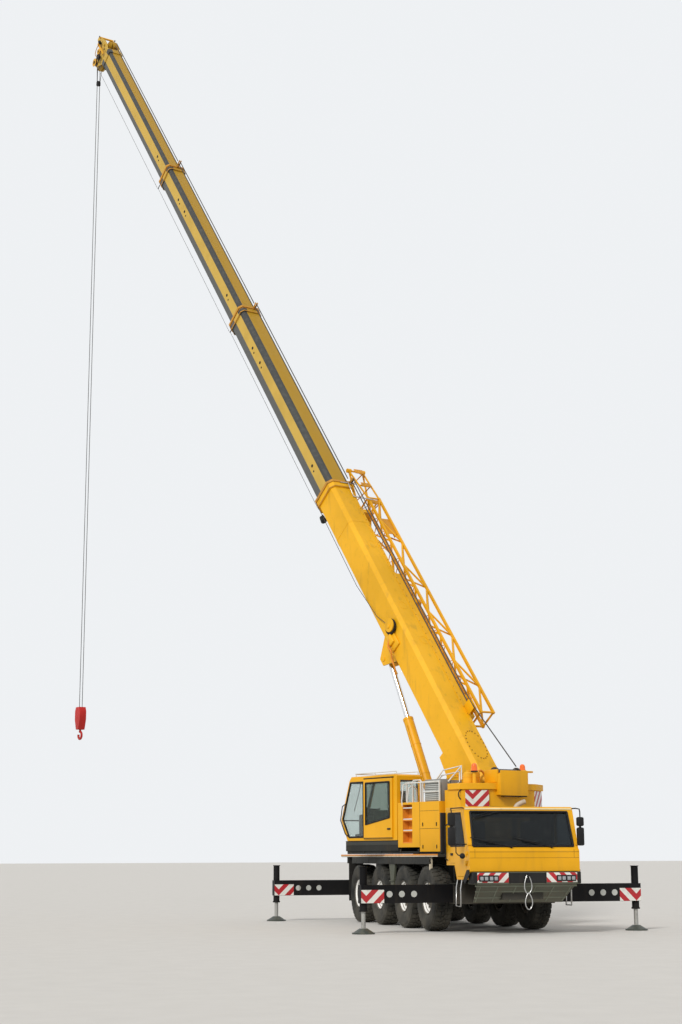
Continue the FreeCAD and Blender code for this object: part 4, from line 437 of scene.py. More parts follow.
def glazing(name, colour, roughness=0.03, ior=1.45):
    """Tinted window glass with a faint film of dust."""
    finish = Finish(name)
    film = finish.noise(5.0, detail=5.0)
    finish.set(Base_Color=finish.blend(film.ramp(0.5, 0.8) * 0.2, rgba(colour), rgba((0.5, 0.5, 0.48))))
    finish.set(Roughness=film.ramp(0.4, 0.8) * 0.06 + roughness)
    finish.shader.inputs["Transmission Weight"].default_value = 0.92
    finish.shader.inputs["IOR"].default_value = ior
    return finish.material


window_glass = glazing("window_glass", (0.74, 0.80, 0.78), ior=1.2)
operator_door_glass = glazing("operator_door_glass", (0.30, 0.36, 0.31), ior=1.2)
screen_glass = glazing("screen_glass", (0.12, 0.145, 0.16), ior=1.26)
door_glass = glazing("door_glass", (0.10, 0.12, 0.13), ior=1.10)

# %% [markdown]
# Red and white warning plates carry diagonal bands that fold into a V. The bands are a
# pattern in the material: distance across plus distance up, cut into equal steps.


# %% Warning plates and striped boom sections
RED = (0.44, 0.012, 0.020)
WHITE = (0.74, 0.74, 0.70)


def chevron(name, place, across, up, fold, period, phase=0.0):
    """Bands of red and white at 45 degrees, folded about a line if fold is a number."""
    finish = Finish(name)
    origin = place.translation
    turn = place.to_3x3()
    side = finish.along(turn @ Vector(across), origin)
    rise = finish.along(turn @ Vector(up), origin)
    if fold is not None:
        side = (side - fold).math("ABSOLUTE")
    band = ((side - rise) / period + (phase + 50.0)).math("FRACT") > 0.5
    fine = finish.noise(9.0, detail=5.0)
    base = finish.blend(band, rgba(WHITE), rgba(RED))
    base = finish.blend(fine.ramp(0.5, 0.8) * 0.35, base, rgba(GRIME))
    finish.set(Base_Color=base, Roughness=fine * 0.15 + 0.3)
    return finish.material


SLIDE_GREY = (0.050, 0.052, 0.050)
BOOM_WIDTH, BOOM_DEPTH, BOOM_AXIS, BOOM_BEVEL, BOOM_CHINE = 0.72, 0.92, 0.40, 0.09, 0.17
BASE_TIP, PITCH, COLLAR = 9.80, 7.96, 0.25
SECTION_STEP = 0.04
PAINTED_SIDE = 0.40
STRIPE = 0.080


def section_finish(number):
    """Ochre paint with bare grey bearing paths on a section's bevels and lower sides. Its side faces are painted a
    paler ochre than its top, as painted light and shade.
    """
    finish = Finish(f"boom_section_paint_{number}")
    turn = BOOM.to_3x3()
    across = finish.along(turn @ Vector((0, 1, 0)), BOOM.translation)
    left = across.math("ABSOLUTE")
    up = finish.along(turn @ Vector((0, 0, 1)), BOOM.translation)
    half = BOOM_WIDTH / 2 - number * SECTION_STEP
    top = BOOM_AXIS + BOOM_DEPTH / 2 - number * SECTION_STEP
    bevel = BOOM_BEVEL - (2 - math.sqrt(2)) * number * SECTION_STEP
    corner = half + top - bevel - STRIPE
    upper = ((across + up) > corner).math("MAXIMUM", ((left + up) > corner) * (up < (top - 0.004)))
    lower = up < (top - bevel - PAINTED_SIDE)
    along = finish.along(turn @ Vector((1, 0, 0)), BOOM.translation)
    end = BASE_TIP + number * PITCH
    path = upper.math("MAXIMUM", lower) * (along < (end - 0.03))
    collar = along > (end - 0.10) if number < 3 else along > 100.0
    stretched = finish.noise(1.2, detail=5.0)
    fine = finish.noise(8.0, detail=5.0)
    # Painted light and shade: the upright side faces get a paler ochre than the top face, though both are one paint.
    side = (left > (half - 0.012))
    ochre_with_face_shading = finish.blend(side, rgba((0.44, 0.255, 0.018)), rgba((0.62, 0.41, 0.075)))
    ochre_with_face_shading = finish.blend(stretched.ramp(0.4, 0.7) * 0.35, ochre_with_face_shading, rgba((0.40, 0.25, 0.035)))
    grey = finish.blend(fine.ramp(0.4, 0.7) * 0.4, rgba(SLIDE_GREY), rgba((0.11, 0.11, 0.10)))
    grey = finish.blend(lower * 0.5, grey, rgba((0.15, 0.155, 0.15)))
    base = finish.blend(path, ochre_with_face_shading, grey)
    rust = finish.blend(fine.ramp(0.35, 0.65), rgba((0.50, 0.24, 0.025)), rgba((0.34, 0.15, 0.03)))
    base = finish.blend(collar, base, rust)
    finish.set(Base_Color=base, Roughness=fine * 0.2 + 0.40)
    finish.shader.inputs["Specular IOR Level"].default_value = 0.25
    finish.bump(fine, 0.08, 0.004)
    return finish.material


# %% [markdown]
# New pieces start from bmesh operators. Three small helpers cover most of a machine:
# a slab between two corners, a round bar between two points, and a plate cut from an
# outline. One last helper moves a piece into the crane's frame and hangs it on a body.


# %% Modelling helpers
def slab(bm, low, high, bevel=0.0):
    """A box between two corners, with its edges rounded if a bevel is given."""
    low, high = Vector(low), Vector(high)
    verts = bmesh.ops.create_cube(bm, size=1)["verts"]
    bmesh.ops.scale(bm, vec=high - low, verts=verts)
    bmesh.ops.translate(bm, vec=(low + high) / 2, verts=verts)
    if bevel:
        edges = list({edge for vert in verts for edge in vert.link_edges})
        bmesh.ops.bevel(bm, geom=edges, offset=bevel, segments=2, profile=0.5, affect="EDGES", material=-1)


def bar(bm, start, end, radius, sides=12, tip=None):
    """A round bar, or a cone if a tip radius is given."""
    start, end = Vector(start), Vector(end)
    turn = (end - start).to_track_quat("Z", "Y").to_matrix().to_4x4()
    place = Matrix.Translation((start + end) / 2) @ turn
    far = radius if tip is None else tip
    length = (end - start).length
    bmesh.ops.create_cone(bm, cap_ends=True, segments=sides, radius1=radius, radius2=far, depth=length, matrix=place)


def plate(bm, outline, depth):
    """A flat outline of points, thickened by a vector."""
    face = bm.faces.new([bm.verts.new(point) for point in outline])
    grown = bmesh.ops.extrude_face_region(bm, geom=[face])["geom"]
    moved = [part for part in grown if isinstance(part, bmesh.types.BMVert)]
    bmesh.ops.translate(bm, vec=depth, verts=moved)


def lathe(bm, profile, centre, axis, steps=48):
    """A closed profile of (radius, along) spun about an axis, which is X, Y or Z."""
    axis = Vector(axis)
    out = axis.orthogonal().normalized()
    points = [bm.verts.new(Vector(centre) + out * radius + axis * along) for radius, along in profile]
    edges = [bm.edges.new((points[index], points[(index + 1) % len(points)])) for index in range(len(points))]
    made = bmesh.ops.spin(bm, geom=points + edges, cent=centre, axis=axis, angle=math.tau, steps=steps, use_merge=True)
    bmesh.ops.remove_doubles(bm, verts=bm.verts[:], dist=0.00005)
    return made


def piece(name, bm, place, body, material, bevel=0.0, replaces=()):
    """A finished mesh in the crane's frame, riding on a body if one is named."""
    bm.transform(place)
    bmesh.ops.recalc_face_normals(bm, faces=bm.faces[:])
    bm.normal_update()
    for face in bm.faces:
        face.smooth = True
    for edge in bm.edges:
        edge.smooth = len(edge.link_faces) == 2 and edge.calc_face_angle(0.0) < 0.62
    mesh = bpy.data.meshes.new(name)
    bm.to_mesh(mesh)
    bm.free()
    mesh.materials.append(material)
    made = bpy.data.objects.new(name, mesh)
    bpy.context.scene.collection.objects.link(made)
    if bevel:
        soft = made.modifiers.new("edges", "BEVEL")
        soft.width = bevel
        soft.segments = 2
        soft.limit_method = "ANGLE"
        soft.angle_limit = 0.7
        soft.harden_normals = False
    if body:
        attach(made, body)
    if replaces:
        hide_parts(*replaces)
    return made


def wire(name, points, radius, place, body, material, smooth=False):
    """A rail, hose or rope along a line of points, drawn as a curve."""
    curve = bpy.data.curves.new(name, "CURVE")
    curve.dimensions = "3D"
    curve.bevel_depth = radius
    curve.bevel_resolution = 3
    curve.resolution_u = 8
    spline = curve.splines.new("NURBS" if smooth else "POLY")
    spline.points.add(len(points) - 1)
    for spot, point in zip(spline.points, points):
        spot.co = (*(place @ Vector(point)), 1)
    if smooth:
        spline.order_u = 3
        spline.use_endpoint_u = True
    curve.use_fill_caps = True
    curve.materials.append(material)
    made = bpy.data.objects.new(name, curve)
    bpy.context.scene.collection.objects.link(made)
    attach(made, body)
    return made


def softened(node, body, material, width=0.012, place=None, zones=(), trimmed=0.0):
    """A copy of a CAD node with its flat faces joined and its edges rounded.

    What stands further out than trimmed is cut off, for a finer piece to take its place.

    A zone is a test of a face's middle, in a local frame, and the material it gives."""
    bm = bmesh.new()
    bm.from_mesh(frame["nodes"][node].data)
    bmesh.ops.remove_doubles(bm, verts=bm.verts[:], dist=0.0001)
    bmesh.ops.dissolve_limit(bm, angle_limit=0.02, verts=bm.verts[:], edges=bm.edges[:])
    for sign in (-1, 1) if trimmed else ():
        parts = bm.verts[:] + bm.edges[:] + bm.faces[:]
        side = (place.translation.x, place.translation.y + sign * trimmed, 0)
        bmesh.ops.bisect_plane(bm, geom=parts, plane_co=side, plane_no=(0, sign, 0), clear_outer=True)
        bmesh.ops.holes_fill(bm, edges=[edge for edge in bm.edges if edge.is_boundary], sides=0)
    back = (place or Matrix()).inverted()
    for face in bm.faces:
        middle = back @ face.calc_center_median()
        for index, (inside, other) in enumerate(zones, 1):
            if inside(middle):
                face.material_index = index
                break
    made = piece(node + "_skin", bm, Matrix(), body, material, bevel=width, replaces=[node])
    for inside, other in zones:
        made.data.materials.append(other)
    return made


def repaint(node, material):
    """A better finish on a CAD node that keeps its shape."""
    mesh = frame["nodes"][node].data
    mesh.materials.clear()
    mesh.materials.append(material)


# %% [markdown]
# Most of the crane's steel keeps its CAD shape. Boxes of plate get rounded edges from a
# softened copy, because a sharp edge never catches the light as folded plate does.

# %% Finishes on the solid pieces
CAB_SIDE, CAB_WALL = 1.22, 0.05
SIDE = 1.30
for node, material in (
    ("axles", underbody_black),
    ("chassis_frame", underbody_black),
    ("engine", underbody_black),
    ("cab_glass", screen_glass),
    ("operator_cab_glass", window_glass),
    ("luff_rod", chrome),
    ("luff_barrel", cylinder_yellow),
    ("jib", body_yellow),
    ("winch_drum", rope_steel),
):
    repaint(node, material)
for node in frame["nodes"]:
    if node.startswith("knuckle"):
        repaint(node, underbody_black)
    if node.startswith("outrigger_beam"):
        repaint(node, outrigger_black)
    if node.startswith("jack"):
        repaint(node, jack_paint)
for number in (1, 2, 3):
    repaint(f"boom_section_{number}", section_finish(number))


def cab_pane(middle):
    """A face of the glass in a driver's door."""
    return abs(abs(middle.y) - (CAB_SIDE - CAB_WALL / 2)) < 0.006 and middle.z > 1.79


def door_pane(middle):
    """A face of the glass in the operator's door."""
    return abs(middle.y - 1.33) < 0.006 and 0.14 < middle.x < 1.15


def cab_room(middle):
    """The inner faces of the driver's cab."""
    ahead = 5.27 - 0.325 * max(0.0, middle.z - 1.74)
    return 3.97 < middle.x < ahead and abs(middle.y) < CAB_SIDE - 0.045 and 1.40 < middle.z < 2.57


def operator_room(middle):
    """The inner faces of the operator's cab."""
    ahead = 1.92 + 0.27 * max(0.0, 1 - abs(middle.z - 2.45))
    return -0.06 < middle.x < ahead and 0.60 < middle.y < 1.275 and 1.98 < middle.z < 3.45


def skirt_side(middle):
    """The upright faces of the deck's side skirts."""
    return abs(middle.y) > 1.325


def recess(middle):
    """The inside of the ladder's recess."""
    return -0.672 < middle.x < -0.298 and SIDE - 0.185 < middle.y < SIDE - 0.002 and 1.87 < middle.z < 2.77


def rail(middle):
    """The platform's rail and posts."""
    return middle.z > 2.815 and middle.y > 1.2


def cooler(middle):
    """The cooler on the platform."""
    return middle.z > 2.815 and middle.y <= 1.2


def collar_zone(middle):
    """The mouth of the base section."""
    return middle.x > BASE_TIP - 0.11


def cheek(middle):
    """The two upright plates that hold the boom's foot."""
    return middle.z > 1.97 and 0.41 < abs(middle.y) < 0.49


SKINS = [
    ("cab_shell", "chassis", "body_yellow", body_yellow, 0.014, CARRIER, [(cab_room, interior_dark)]),
    ("cab_door_left", "door_left", "body_yellow", body_yellow, 0.006, CARRIER, [(cab_pane, door_glass)]),
    ("cab_door_right", "door_right", "body_yellow", body_yellow, 0.006, CARRIER, [(cab_pane, door_glass)]),
    ("bumper", "chassis", "bumper_olive", bumper_olive, 0.012, CARRIER, []),
    ("deck", "chassis", "deck_grey", deck_grey, 0.006, CARRIER, [(skirt_side, underbody_black)]),
    ("counterweight", "superstructure", "body_yellow", body_yellow, 0.012, UPPER, []),
    (
        "upper_housing", "superstructure", "body_yellow", body_yellow, 0.010, UPPER,
        [(recess, edge_orange), (rail, rail_white), (cooler, housing_grey)],
    ),
    ("turntable", "superstructure", "underbody_black", underbody_black, 0.006, UPPER, [(cheek, boom_yellow)]),
    ("operator_cab", "superstructure", "body_yellow", body_yellow, 0.010, UPPER, [(operator_room, interior_dark)]),
    ("operator_cab_door", "operator_door", "body_yellow", body_yellow, 0.006, UPPER, [(door_pane, operator_door_glass)]),
    ("boom_base", "boom", "body_yellow", boom_yellow, 0.014, BOOM, [(collar_zone, collar_rust)]),
    ("hook_block", "hook", "hook_red", hook_red, 0.012, HANG, []),
]
for node, body, slot, material, width, place, zones in SKINS:
    softened(node, body, material, width, place, zones, 1.255 if node == "cab_shell" else 0.0)

# %% [markdown]
# The floor is pale to the camera and keeps the crane's shadow. It is clear from below,
# for when the boom is low and its rope makes the camera look from under the ground.

# %% Floor finish
floor_finish = Finish("pale_floor")
grit = floor_finish.noise(2.0, detail=8.0)
floor_finish.set(Base_Color=floor_finish.blend(grit, rgba((0.60, 0.59, 0.57)), rgba((0.68, 0.67, 0.65))))
floor_finish.shader.inputs["Roughness"].default_value = 0.9
seen_below = Signal(floor_finish.tree, floor_finish.node("ShaderNodeNewGeometry", {}, {}).outputs["Backfacing"])
floor_finish.set(Alpha=1 - seen_below)
floor.data.materials.append(floor_finish.material)

# %% [markdown]
# A crane's tyre is tall and square-shouldered, with deep blocks across its tread. The
# carcass is a spun profile, and rows of small blocks stand on it, turned by a loop.

# %% Tyres
TYRE_RADIUS, TYRE_HALF, BEAD = 0.70, 0.21, 0.3553
TREAD_DEPTH = 0.022
TREAD_STEPS = 34


def tyre_mesh():
    """One tyre about the Y axis at the origin, its outer face towards +Y."""
    bm = bmesh.new()
    base = TYRE_RADIUS - TREAD_DEPTH
    side = [
        (BEAD, 0.165), (BEAD + 0.02, 0.187), (BEAD + 0.05, 0.195), (BEAD + 0.10, 0.208), (0.53, 0.2095),
        (0.585, 0.206), (0.60, 0.209), (0.625, 0.200), (0.655, 0.185), (base, 0.160),
    ]
    profile = side + [(base, 0.06), (base, -0.06)] + [(radius, -along) for radius, along in reversed(side)]
    lathe(bm, profile, (0, 0, 0), (0, 1, 0), steps=72)
    for step in range(TREAD_STEPS):
        turn = Matrix.Rotation(math.tau * step / TREAD_STEPS, 4, "Y")
        half_turn = Matrix.Rotation(math.tau * (step + 0.5) / TREAD_STEPS, 4, "Y")
        for side_sign, spin in ((1, turn), (-1, half_turn)):
            shoulder = [(0.052, 0.188, 0), (0.052, 0.075, 0.012), (-0.030, 0.075, 0.012), (-0.036, 0.188, 0)]
            before = set(bm.verts)
            outline = [(x, side_sign * y, base - 0.045 if y > 0.18 else base - 0.004) for x, y, z in shoulder]
            face = bm.faces.new([bm.verts.new(point) for point in outline])
            grown = bmesh.ops.extrude_face_region(bm, geom=[face])["geom"]
            tops = [part for part in grown if isinstance(part, bmesh.types.BMVert)]
            for vert in tops:
                vert.co.z = TYRE_RADIUS - (0.024 if abs(vert.co.y) > 0.18 else 0.0015)
            fresh = [vert for vert in bm.verts if vert not in before]
            bmesh.ops.transform(bm, matrix=spin, verts=fresh)
            before = set(bm.verts)
            centre = [(0.040, 0.060, 0), (0.030, 0.008, 0), (-0.042, 0.008, 0), (-0.030, 0.060, 0)]
            face = bm.faces.new([bm.verts.new((x, side_sign * y, base - 0.004)) for x, y, z in centre])
            grown = bmesh.ops.extrude_face_region(bm, geom=[face])["geom"]
            tops = [part for part in grown if isinstance(part, bmesh.types.BMVert)]
            for vert in tops:
                vert.co.z = TYRE_RADIUS - 0.0012
            fresh = [vert for vert in bm.verts if vert not in before]
            bmesh.ops.transform(bm, matrix=spin, verts=fresh)
    return bm


def rim_mesh():
    """One wheel about the Y axis: a flange on the tyre and a dished disc."""
    bm = bmesh.new()
    profile = [
        (0.354, -0.16), (0.354, 0.165), (0.350, 0.185), (0.340, 0.190), (0.330, 0.182), (0.322, 0.150), (0.300, 0.140),
        (0.285, 0.115), (0.270, 0.095), (0.235, 0.090), (0.200, 0.100), (0.165, 0.105), (0.150, 0.100), (0.140, 0.06),
        (0.285, 0.06), (0.300, -0.155),
    ]
    lathe(bm, profile, (0, 0, 0), (0, 1, 0), steps=64)
    return bm


def ring_mesh():
    """The white ring painted on the dish, between the flange and the wheel nuts."""
    bm = bmesh.new()
    profile = [
        (0.322, 0.166), (0.303, 0.146), (0.289, 0.121), (0.272, 0.100), (0.240, 0.094), (0.222, 0.097), (0.222, 0.089),
        (0.240, 0.087), (0.276, 0.092), (0.300, 0.134), (0.322, 0.146),
    ]
    lathe(bm, profile, (0, 0, 0), (0, 1, 0), steps=64)
    return bm


def hub_mesh():
    """The hub with its planetary cover and wheel nuts."""
    bm = bmesh.new()
    profile = [(0.0, 0.062), (0.148, 0.062), (0.150, 0.115), (0.128, 0.125), (0.118, 0.150), (0.085, 0.165), (0.0, 0.168)]
    lathe(bm, profile, (0, 0, 0), (0, 1, 0), steps=32)
    for step in range(10):
        angle = math.tau * step / 10
        spot = Vector((0.205 * math.cos(angle), 0, 0.205 * math.sin(angle)))
        bar(bm, spot + Vector((0, 0.092, 0)), spot + Vector((0, 0.122, 0)), 0.017, sides=6)
    for step in range(8):
        angle = math.tau * (step + 0.5) / 8
        spot = Vector((0.10 * math.cos(angle), 0, 0.10 * math.sin(angle)))
        bar(bm, spot + Vector((0, 0.145, 0)), spot + Vector((0, 0.166, 0)), 0.011, sides=6)
    return bm


def mirrored(bm):
    """The same mesh with its outer face towards -Y."""
    bmesh.ops.scale(bm, vec=(1, -1, 1), verts=bm.verts[:])
    bmesh.ops.reverse_faces(bm, faces=bm.faces[:])
    return bm


for number in "1234":
    for side in ("left", "right"):
        tag = f"{number}_{side}"
        low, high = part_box("tyre_" + tag)
        place = Matrix.Translation((low + high) / 2)
        body = "wheel_" + tag
        for make, name, slot, material, stands_for in (
            (tyre_mesh, "tread_", "tyre_rubber", tyre_rubber, ["tyre_" + tag]),
            (rim_mesh, "wheel_disc_", "rim_white", wheel_dark, ["rim_" + tag]),
            (ring_mesh, "wheel_ring_", "rim_white", rim_white, []),
            (hub_mesh, "hub_", "underbody_black", hub_grey, []),
        ):
            bm = make()
            if side == "right":
                mirrored(bm)
            piece(name + tag, bm, place, body, material, replaces=stands_for)
print("tyres done")

# %% [markdown]
# The driver's cab is wide and low, with a deep slanted windscreen in a black rubber
# seal, two wipers, a pale lip along its roof, and two stacked mirrors on each side.

# %% Driver's cab details
shell_low, shell_high = span("cab_shell", CARRIER)
NOSE, SILL, BROW, ROOF = 5.36, 1.74, 2.54, 2.60
SILL_X, BROW_X, CAB_HALF = 5.31, 5.05, 1.22


def screen_x(height):
    """The windscreen plane's distance ahead, at a height."""
    return SILL_X + (BROW_X - SILL_X) * (height - SILL) / (BROW - SILL)


bm = bmesh.new()
seal_low, seal_high = SILL + 0.045, BROW - 0.045
corners = [(-1.115, seal_low), (1.115, seal_low), (1.085, seal_high), (-1.085, seal_high)]
for index in range(4):
    one, two = corners[index], corners[(index + 1) % 4]
    start = (screen_x(one[1]) + 0.004, one[0], one[1])
    end = (screen_x(two[1]) + 0.004, two[0], two[1])
    bar(bm, start, end, 0.022, sides=10)
piece("windscreen_seal", bm, CARRIER, "chassis", trim_black)
bm = bmesh.new()
for pivot, lean in ((0.62, 0.62), (-0.28, 0.66)):
    base = Vector((screen_x(SILL + 0.03) + 0.03, pivot, SILL + 0.03))
    tip = Vector((screen_x(SILL + 0.16) + 0.03, pivot - lean, SILL + 0.16))
    bar(bm, base, tip, 0.008, sides=8)
    bar(bm, base + Vector((-0.02, 0, -0.01)), base + Vector((0.012, 0, 0.012)), 0.022, sides=12)
    blade = (tip - base).normalized() * 0.32
    bar(bm, tip - blade * 1.1 + Vector((-0.012, 0, 0.02)), tip + blade * 0.7 + Vector((-0.012, 0, 0.02)), 0.009, sides=6)
base = Vector((screen_x(BROW - 0.06) + 0.02, -0.70, BROW - 0.06))
tip = Vector((screen_x(BROW - 0.14) + 0.02, -1.02, BROW - 0.16))
bar(bm, base, tip, 0.008, sides=8)
bar(bm, (screen_x(2.50) + 0.03, -0.46, 2.50), (screen_x(2.36) + 0.03, -1.02, 2.36), 0.010, sides=8)
piece("wipers", bm, CARRIER, "chassis", trim_black)
bm = bmesh.new()
bar(bm, (BROW_X - 0.005, -CAB_HALF + 0.03, BROW + 0.012), (BROW_X - 0.005, CAB_HALF - 0.03, BROW + 0.012), 0.021, sides=12)
piece("roof_lip", bm, CARRIER, "chassis", cream)
bm = bmesh.new()
for height, thick in ((SILL - 0.07, 0.004), (SILL - 0.19, 0.003)):
    slab(bm, (NOSE - 0.004, -CAB_HALF + 0.012, height - thick), (NOSE + 0.003, CAB_HALF - 0.012, height + thick))
for across in (-1.10, 1.10):
    slab(bm, (NOSE - 0.004, across - 0.003, SILL - 0.19), (NOSE + 0.003, across + 0.003, SILL - 0.01))
piece("front_panel_gaps", bm, CARRIER, "chassis", seam_brown)
MIRRORS = {"left": (1.27, 2.385), "right": (-1.59, 2.465)}
for side, sign in (("left", 1), ("right", -1)):
    bm = bmesh.new()
    middle, top = MIRRORS[side]
    slab(bm, (5.285, middle - 0.080, 2.195), (5.375, middle + 0.080, top), 0.035)
    slab(bm, (5.285, middle - 0.080, 1.795), (5.375, middle + 0.080, 2.170), 0.035)
    slab(bm, (5.31, middle - 0.02, 2.14), (5.34, middle + 0.02, 2.22))
    piece("mirror_heads_" + side, bm, CARRIER, "chassis", trim_black)
    bm = bmesh.new()
    slab(bm, (5.276, middle - 0.066, 2.215), (5.287, middle + 0.066, top - 0.02), 0.003)
    slab(bm, (5.276, middle - 0.066, 1.82), (5.287, middle + 0.066, 2.145), 0.003)
    piece("mirror_glass_" + side, bm, CARRIER, "chassis", chrome)
    over = [(5.04, sign * 1.22, 2.565), (5.10, sign * 1.27, 2.57), (5.30, middle, 2.55), (5.33, middle, 2.49), (5.33, middle, top - 0.02)]
    wire("mirror_arm_upper_" + side, over, 0.013, CARRIER, "chassis", trim_black)
    under = [(5.26, sign * 1.20, 1.825), (5.30, sign * 1.25, 1.825), (5.33, middle - sign * 0.03, 1.83)]
    wire("mirror_arm_lower_" + side, under, 0.012, CARRIER, "chassis", trim_black)
    if side == "right":
        hanging = [(5.33, -1.50, 1.81), (5.33, -1.50, 1.66), (5.34, -1.46, 1.61), (5.35, -1.38, 1.59)]
        wire("kerb_mirror_arm", hanging, 0.011, CARRIER, "chassis", trim_black)
        bm = bmesh.new()
        bmesh.ops.create_uvsphere(
            bm, u_segments=16, v_segments=10, radius=0.058, matrix=Matrix.Translation((5.35, -1.37, 1.59))
        )
        piece("kerb_mirror", bm, CARRIER, "chassis", trim_black)
    bm = bmesh.new()
    slab(bm, (4.22, sign * (CAB_HALF + 0.004) - 0.012, 1.60), (4.36, sign * (CAB_HALF + 0.004) + 0.012, 1.65), 0.006)
    piece("door_handle_" + side, bm, CARRIER, "door_" + side, trim_black)
    bm = bmesh.new()
    outer = sign * CAB_HALF
    frame_points = [(4.215, 1.79), (4.215, 2.475), (4.865, 2.475), (5.095, 1.79)]
    for index in range(4):
        one, two = frame_points[index], frame_points[(index + 1) % 4]
        bar(bm, (one[0], outer, one[1]), (two[0], outer, two[1]), 0.013, sides=8)
    piece("door_window_seal_" + side, bm, CARRIER, "door_" + side, trim_black)
    bm = bmesh.new()
    slab(bm, (NOSE - 0.10, sign * 1.208 - 0.01, 1.44), (NOSE - 0.02, sign * 1.208 + 0.016, 1.50), 0.008)
    piece("side_indicator_" + side, bm, CARRIER, "chassis", lens_orange)
    rail = [(4.06, outer + sign * 0.01, 1.50), (4.06, outer + sign * 0.06, 1.53), (4.06, outer + sign * 0.06, 2.22), (4.06, outer + sign * 0.01, 2.25)]
    wire("cab_grab_rail_" + side, rail, 0.013, CARRIER, "chassis", trim_black)
print("driver's cab dressed")

# %% [markdown]
# Seats are foam pads under cloth, so they are crowned between their edges. Each starts
# as a cube cut into a fine lattice. Its corners stay, its sides pull in, its faces swell,
# and a subdivision surface smooths it.


# %% Seats, dash and consoles
def pad(name, low, high, swell, place, body):
    """A stuffed pad between two corners, crowned on every face."""
    low, high = Vector(low), Vector(high)
    middle, half = (low + high) / 2, (high - low) / 2
    bm = bmesh.new()
    bmesh.ops.create_cube(bm, size=2)
    bmesh.ops.subdivide_edges(bm, edges=bm.edges[:], cuts=5, use_grid_fill=True)
    for vert in bm.verts:
        bulge = [1 - vert.co[axis] ** 4 for axis in range(3)]
        for axis in range(3):
            others = bulge[(axis + 1) % 3] * bulge[(axis + 2) % 3]
            vert.co[axis] *= (half[axis] - swell) + swell * others
    bmesh.ops.translate(bm, vec=middle, verts=bm.verts[:])
    made = piece(name, bm, place, body, seat_cloth)
    smooth = made.modifiers.new("foam", "SUBSURF")
    smooth.levels = smooth.render_levels = 2
    return made


for side, sign in (("left", 1), ("right", -1)):
    near, far = sorted((sign * 0.64 - 0.235, sign * 0.64 + 0.235))
    pad("driver_cushion_" + side, (4.17, near, 1.56), (4.635, far, 1.725), 0.02, CARRIER, "chassis")
    pad("driver_backrest_" + side, (4.065, near, 1.68), (4.20, far, 2.325), 0.02, CARRIER, "chassis")
    bm = bmesh.new()
    slab(bm, (4.19, near + 0.05, 1.4505), (4.60, far - 0.05, 1.575), 0.01)
    piece("seat_stand_" + side, bm, CARRIER, "chassis", interior_dark)
bm = bmesh.new()
slab(bm, (4.90, -1.08, 1.515), (5.305, 1.08, 1.665), 0.03)
dash = piece("dashboard", bm, CARRIER, "chassis", interior_dark, replaces=["cab_interior"])
bm = bmesh.new()
lathe(bm, [(0.20, 0.0), (0.216, 0.008), (0.222, 0.0), (0.216, -0.008)], (0, 0, 0), (0, 0, 1), steps=40)
bar(bm, (-0.20, 0, 0), (0.20, 0, 0), 0.012)
bar(bm, (0, 0, 0), (0, 0, -0.16), 0.022)
bmesh.ops.rotate(bm, cent=(0, 0, 0), matrix=Matrix.Rotation(math.radians(-28), 3, "Y"), verts=bm.verts[:])
bmesh.ops.translate(bm, vec=(4.86, 0.64, 1.80), verts=bm.verts[:])
piece("steering_wheel", bm, CARRIER, "chassis", interior_dark)
OPERATOR_MIDDLE = 0.935
pad("operator_cushion", (0.30, 0.70, 2.39), (0.83, 1.17, 2.515), 0.02, UPPER, "superstructure")
pad("operator_backrest", (0.235, 0.715, 2.45), (0.345, 1.155, 3.11), 0.018, UPPER, "superstructure")
bm = bmesh.new()
slab(bm, (0.32, 0.745, 1.9915), (0.75, 1.125, 2.40), 0.02)
for sign in (-1, 1):
    beside = OPERATOR_MIDDLE + sign * 0.27
    slab(bm, (0.47, beside - 0.034, 2.42), (0.95, beside + 0.034, 2.66), 0.015)
    bar(bm, (0.86, beside, 2.65), (0.88, beside, 2.664), 0.02)
piece("operator_seat_base", bm, UPPER, "superstructure", interior_dark, replaces=["operator_seat"])
bm = bmesh.new()
slab(bm, (1.42, 0.70, 1.985), (1.66, 1.20, 2.58), 0.04)
slab(bm, (1.34, 0.78, 2.56), (1.60, 1.10, 2.72), 0.03)
slab(bm, (1.60, 0.75, 1.985), (1.86, 1.18, 2.12), 0.03)
for across in (0.78, 1.16):
    bar(bm, (1.44, across, 2.50), (1.36, across, 2.74), 0.014, sides=10)
piece("operator_console", bm, UPPER, "superstructure", interior_dark)

# %% [markdown]
# Below the cab the bumper carries two folded warning plates with pairs of lamps, a
# towing shackle on a hanging sling, and a stirrup step at each corner.

# %% Bumper, plates, lamps and steps
FRONT = 5.48


def skirt_x(height):
    """The slanted skirt's distance ahead, at a height."""
    return 5.46 - 0.54 * (1.03 - height) / 0.39


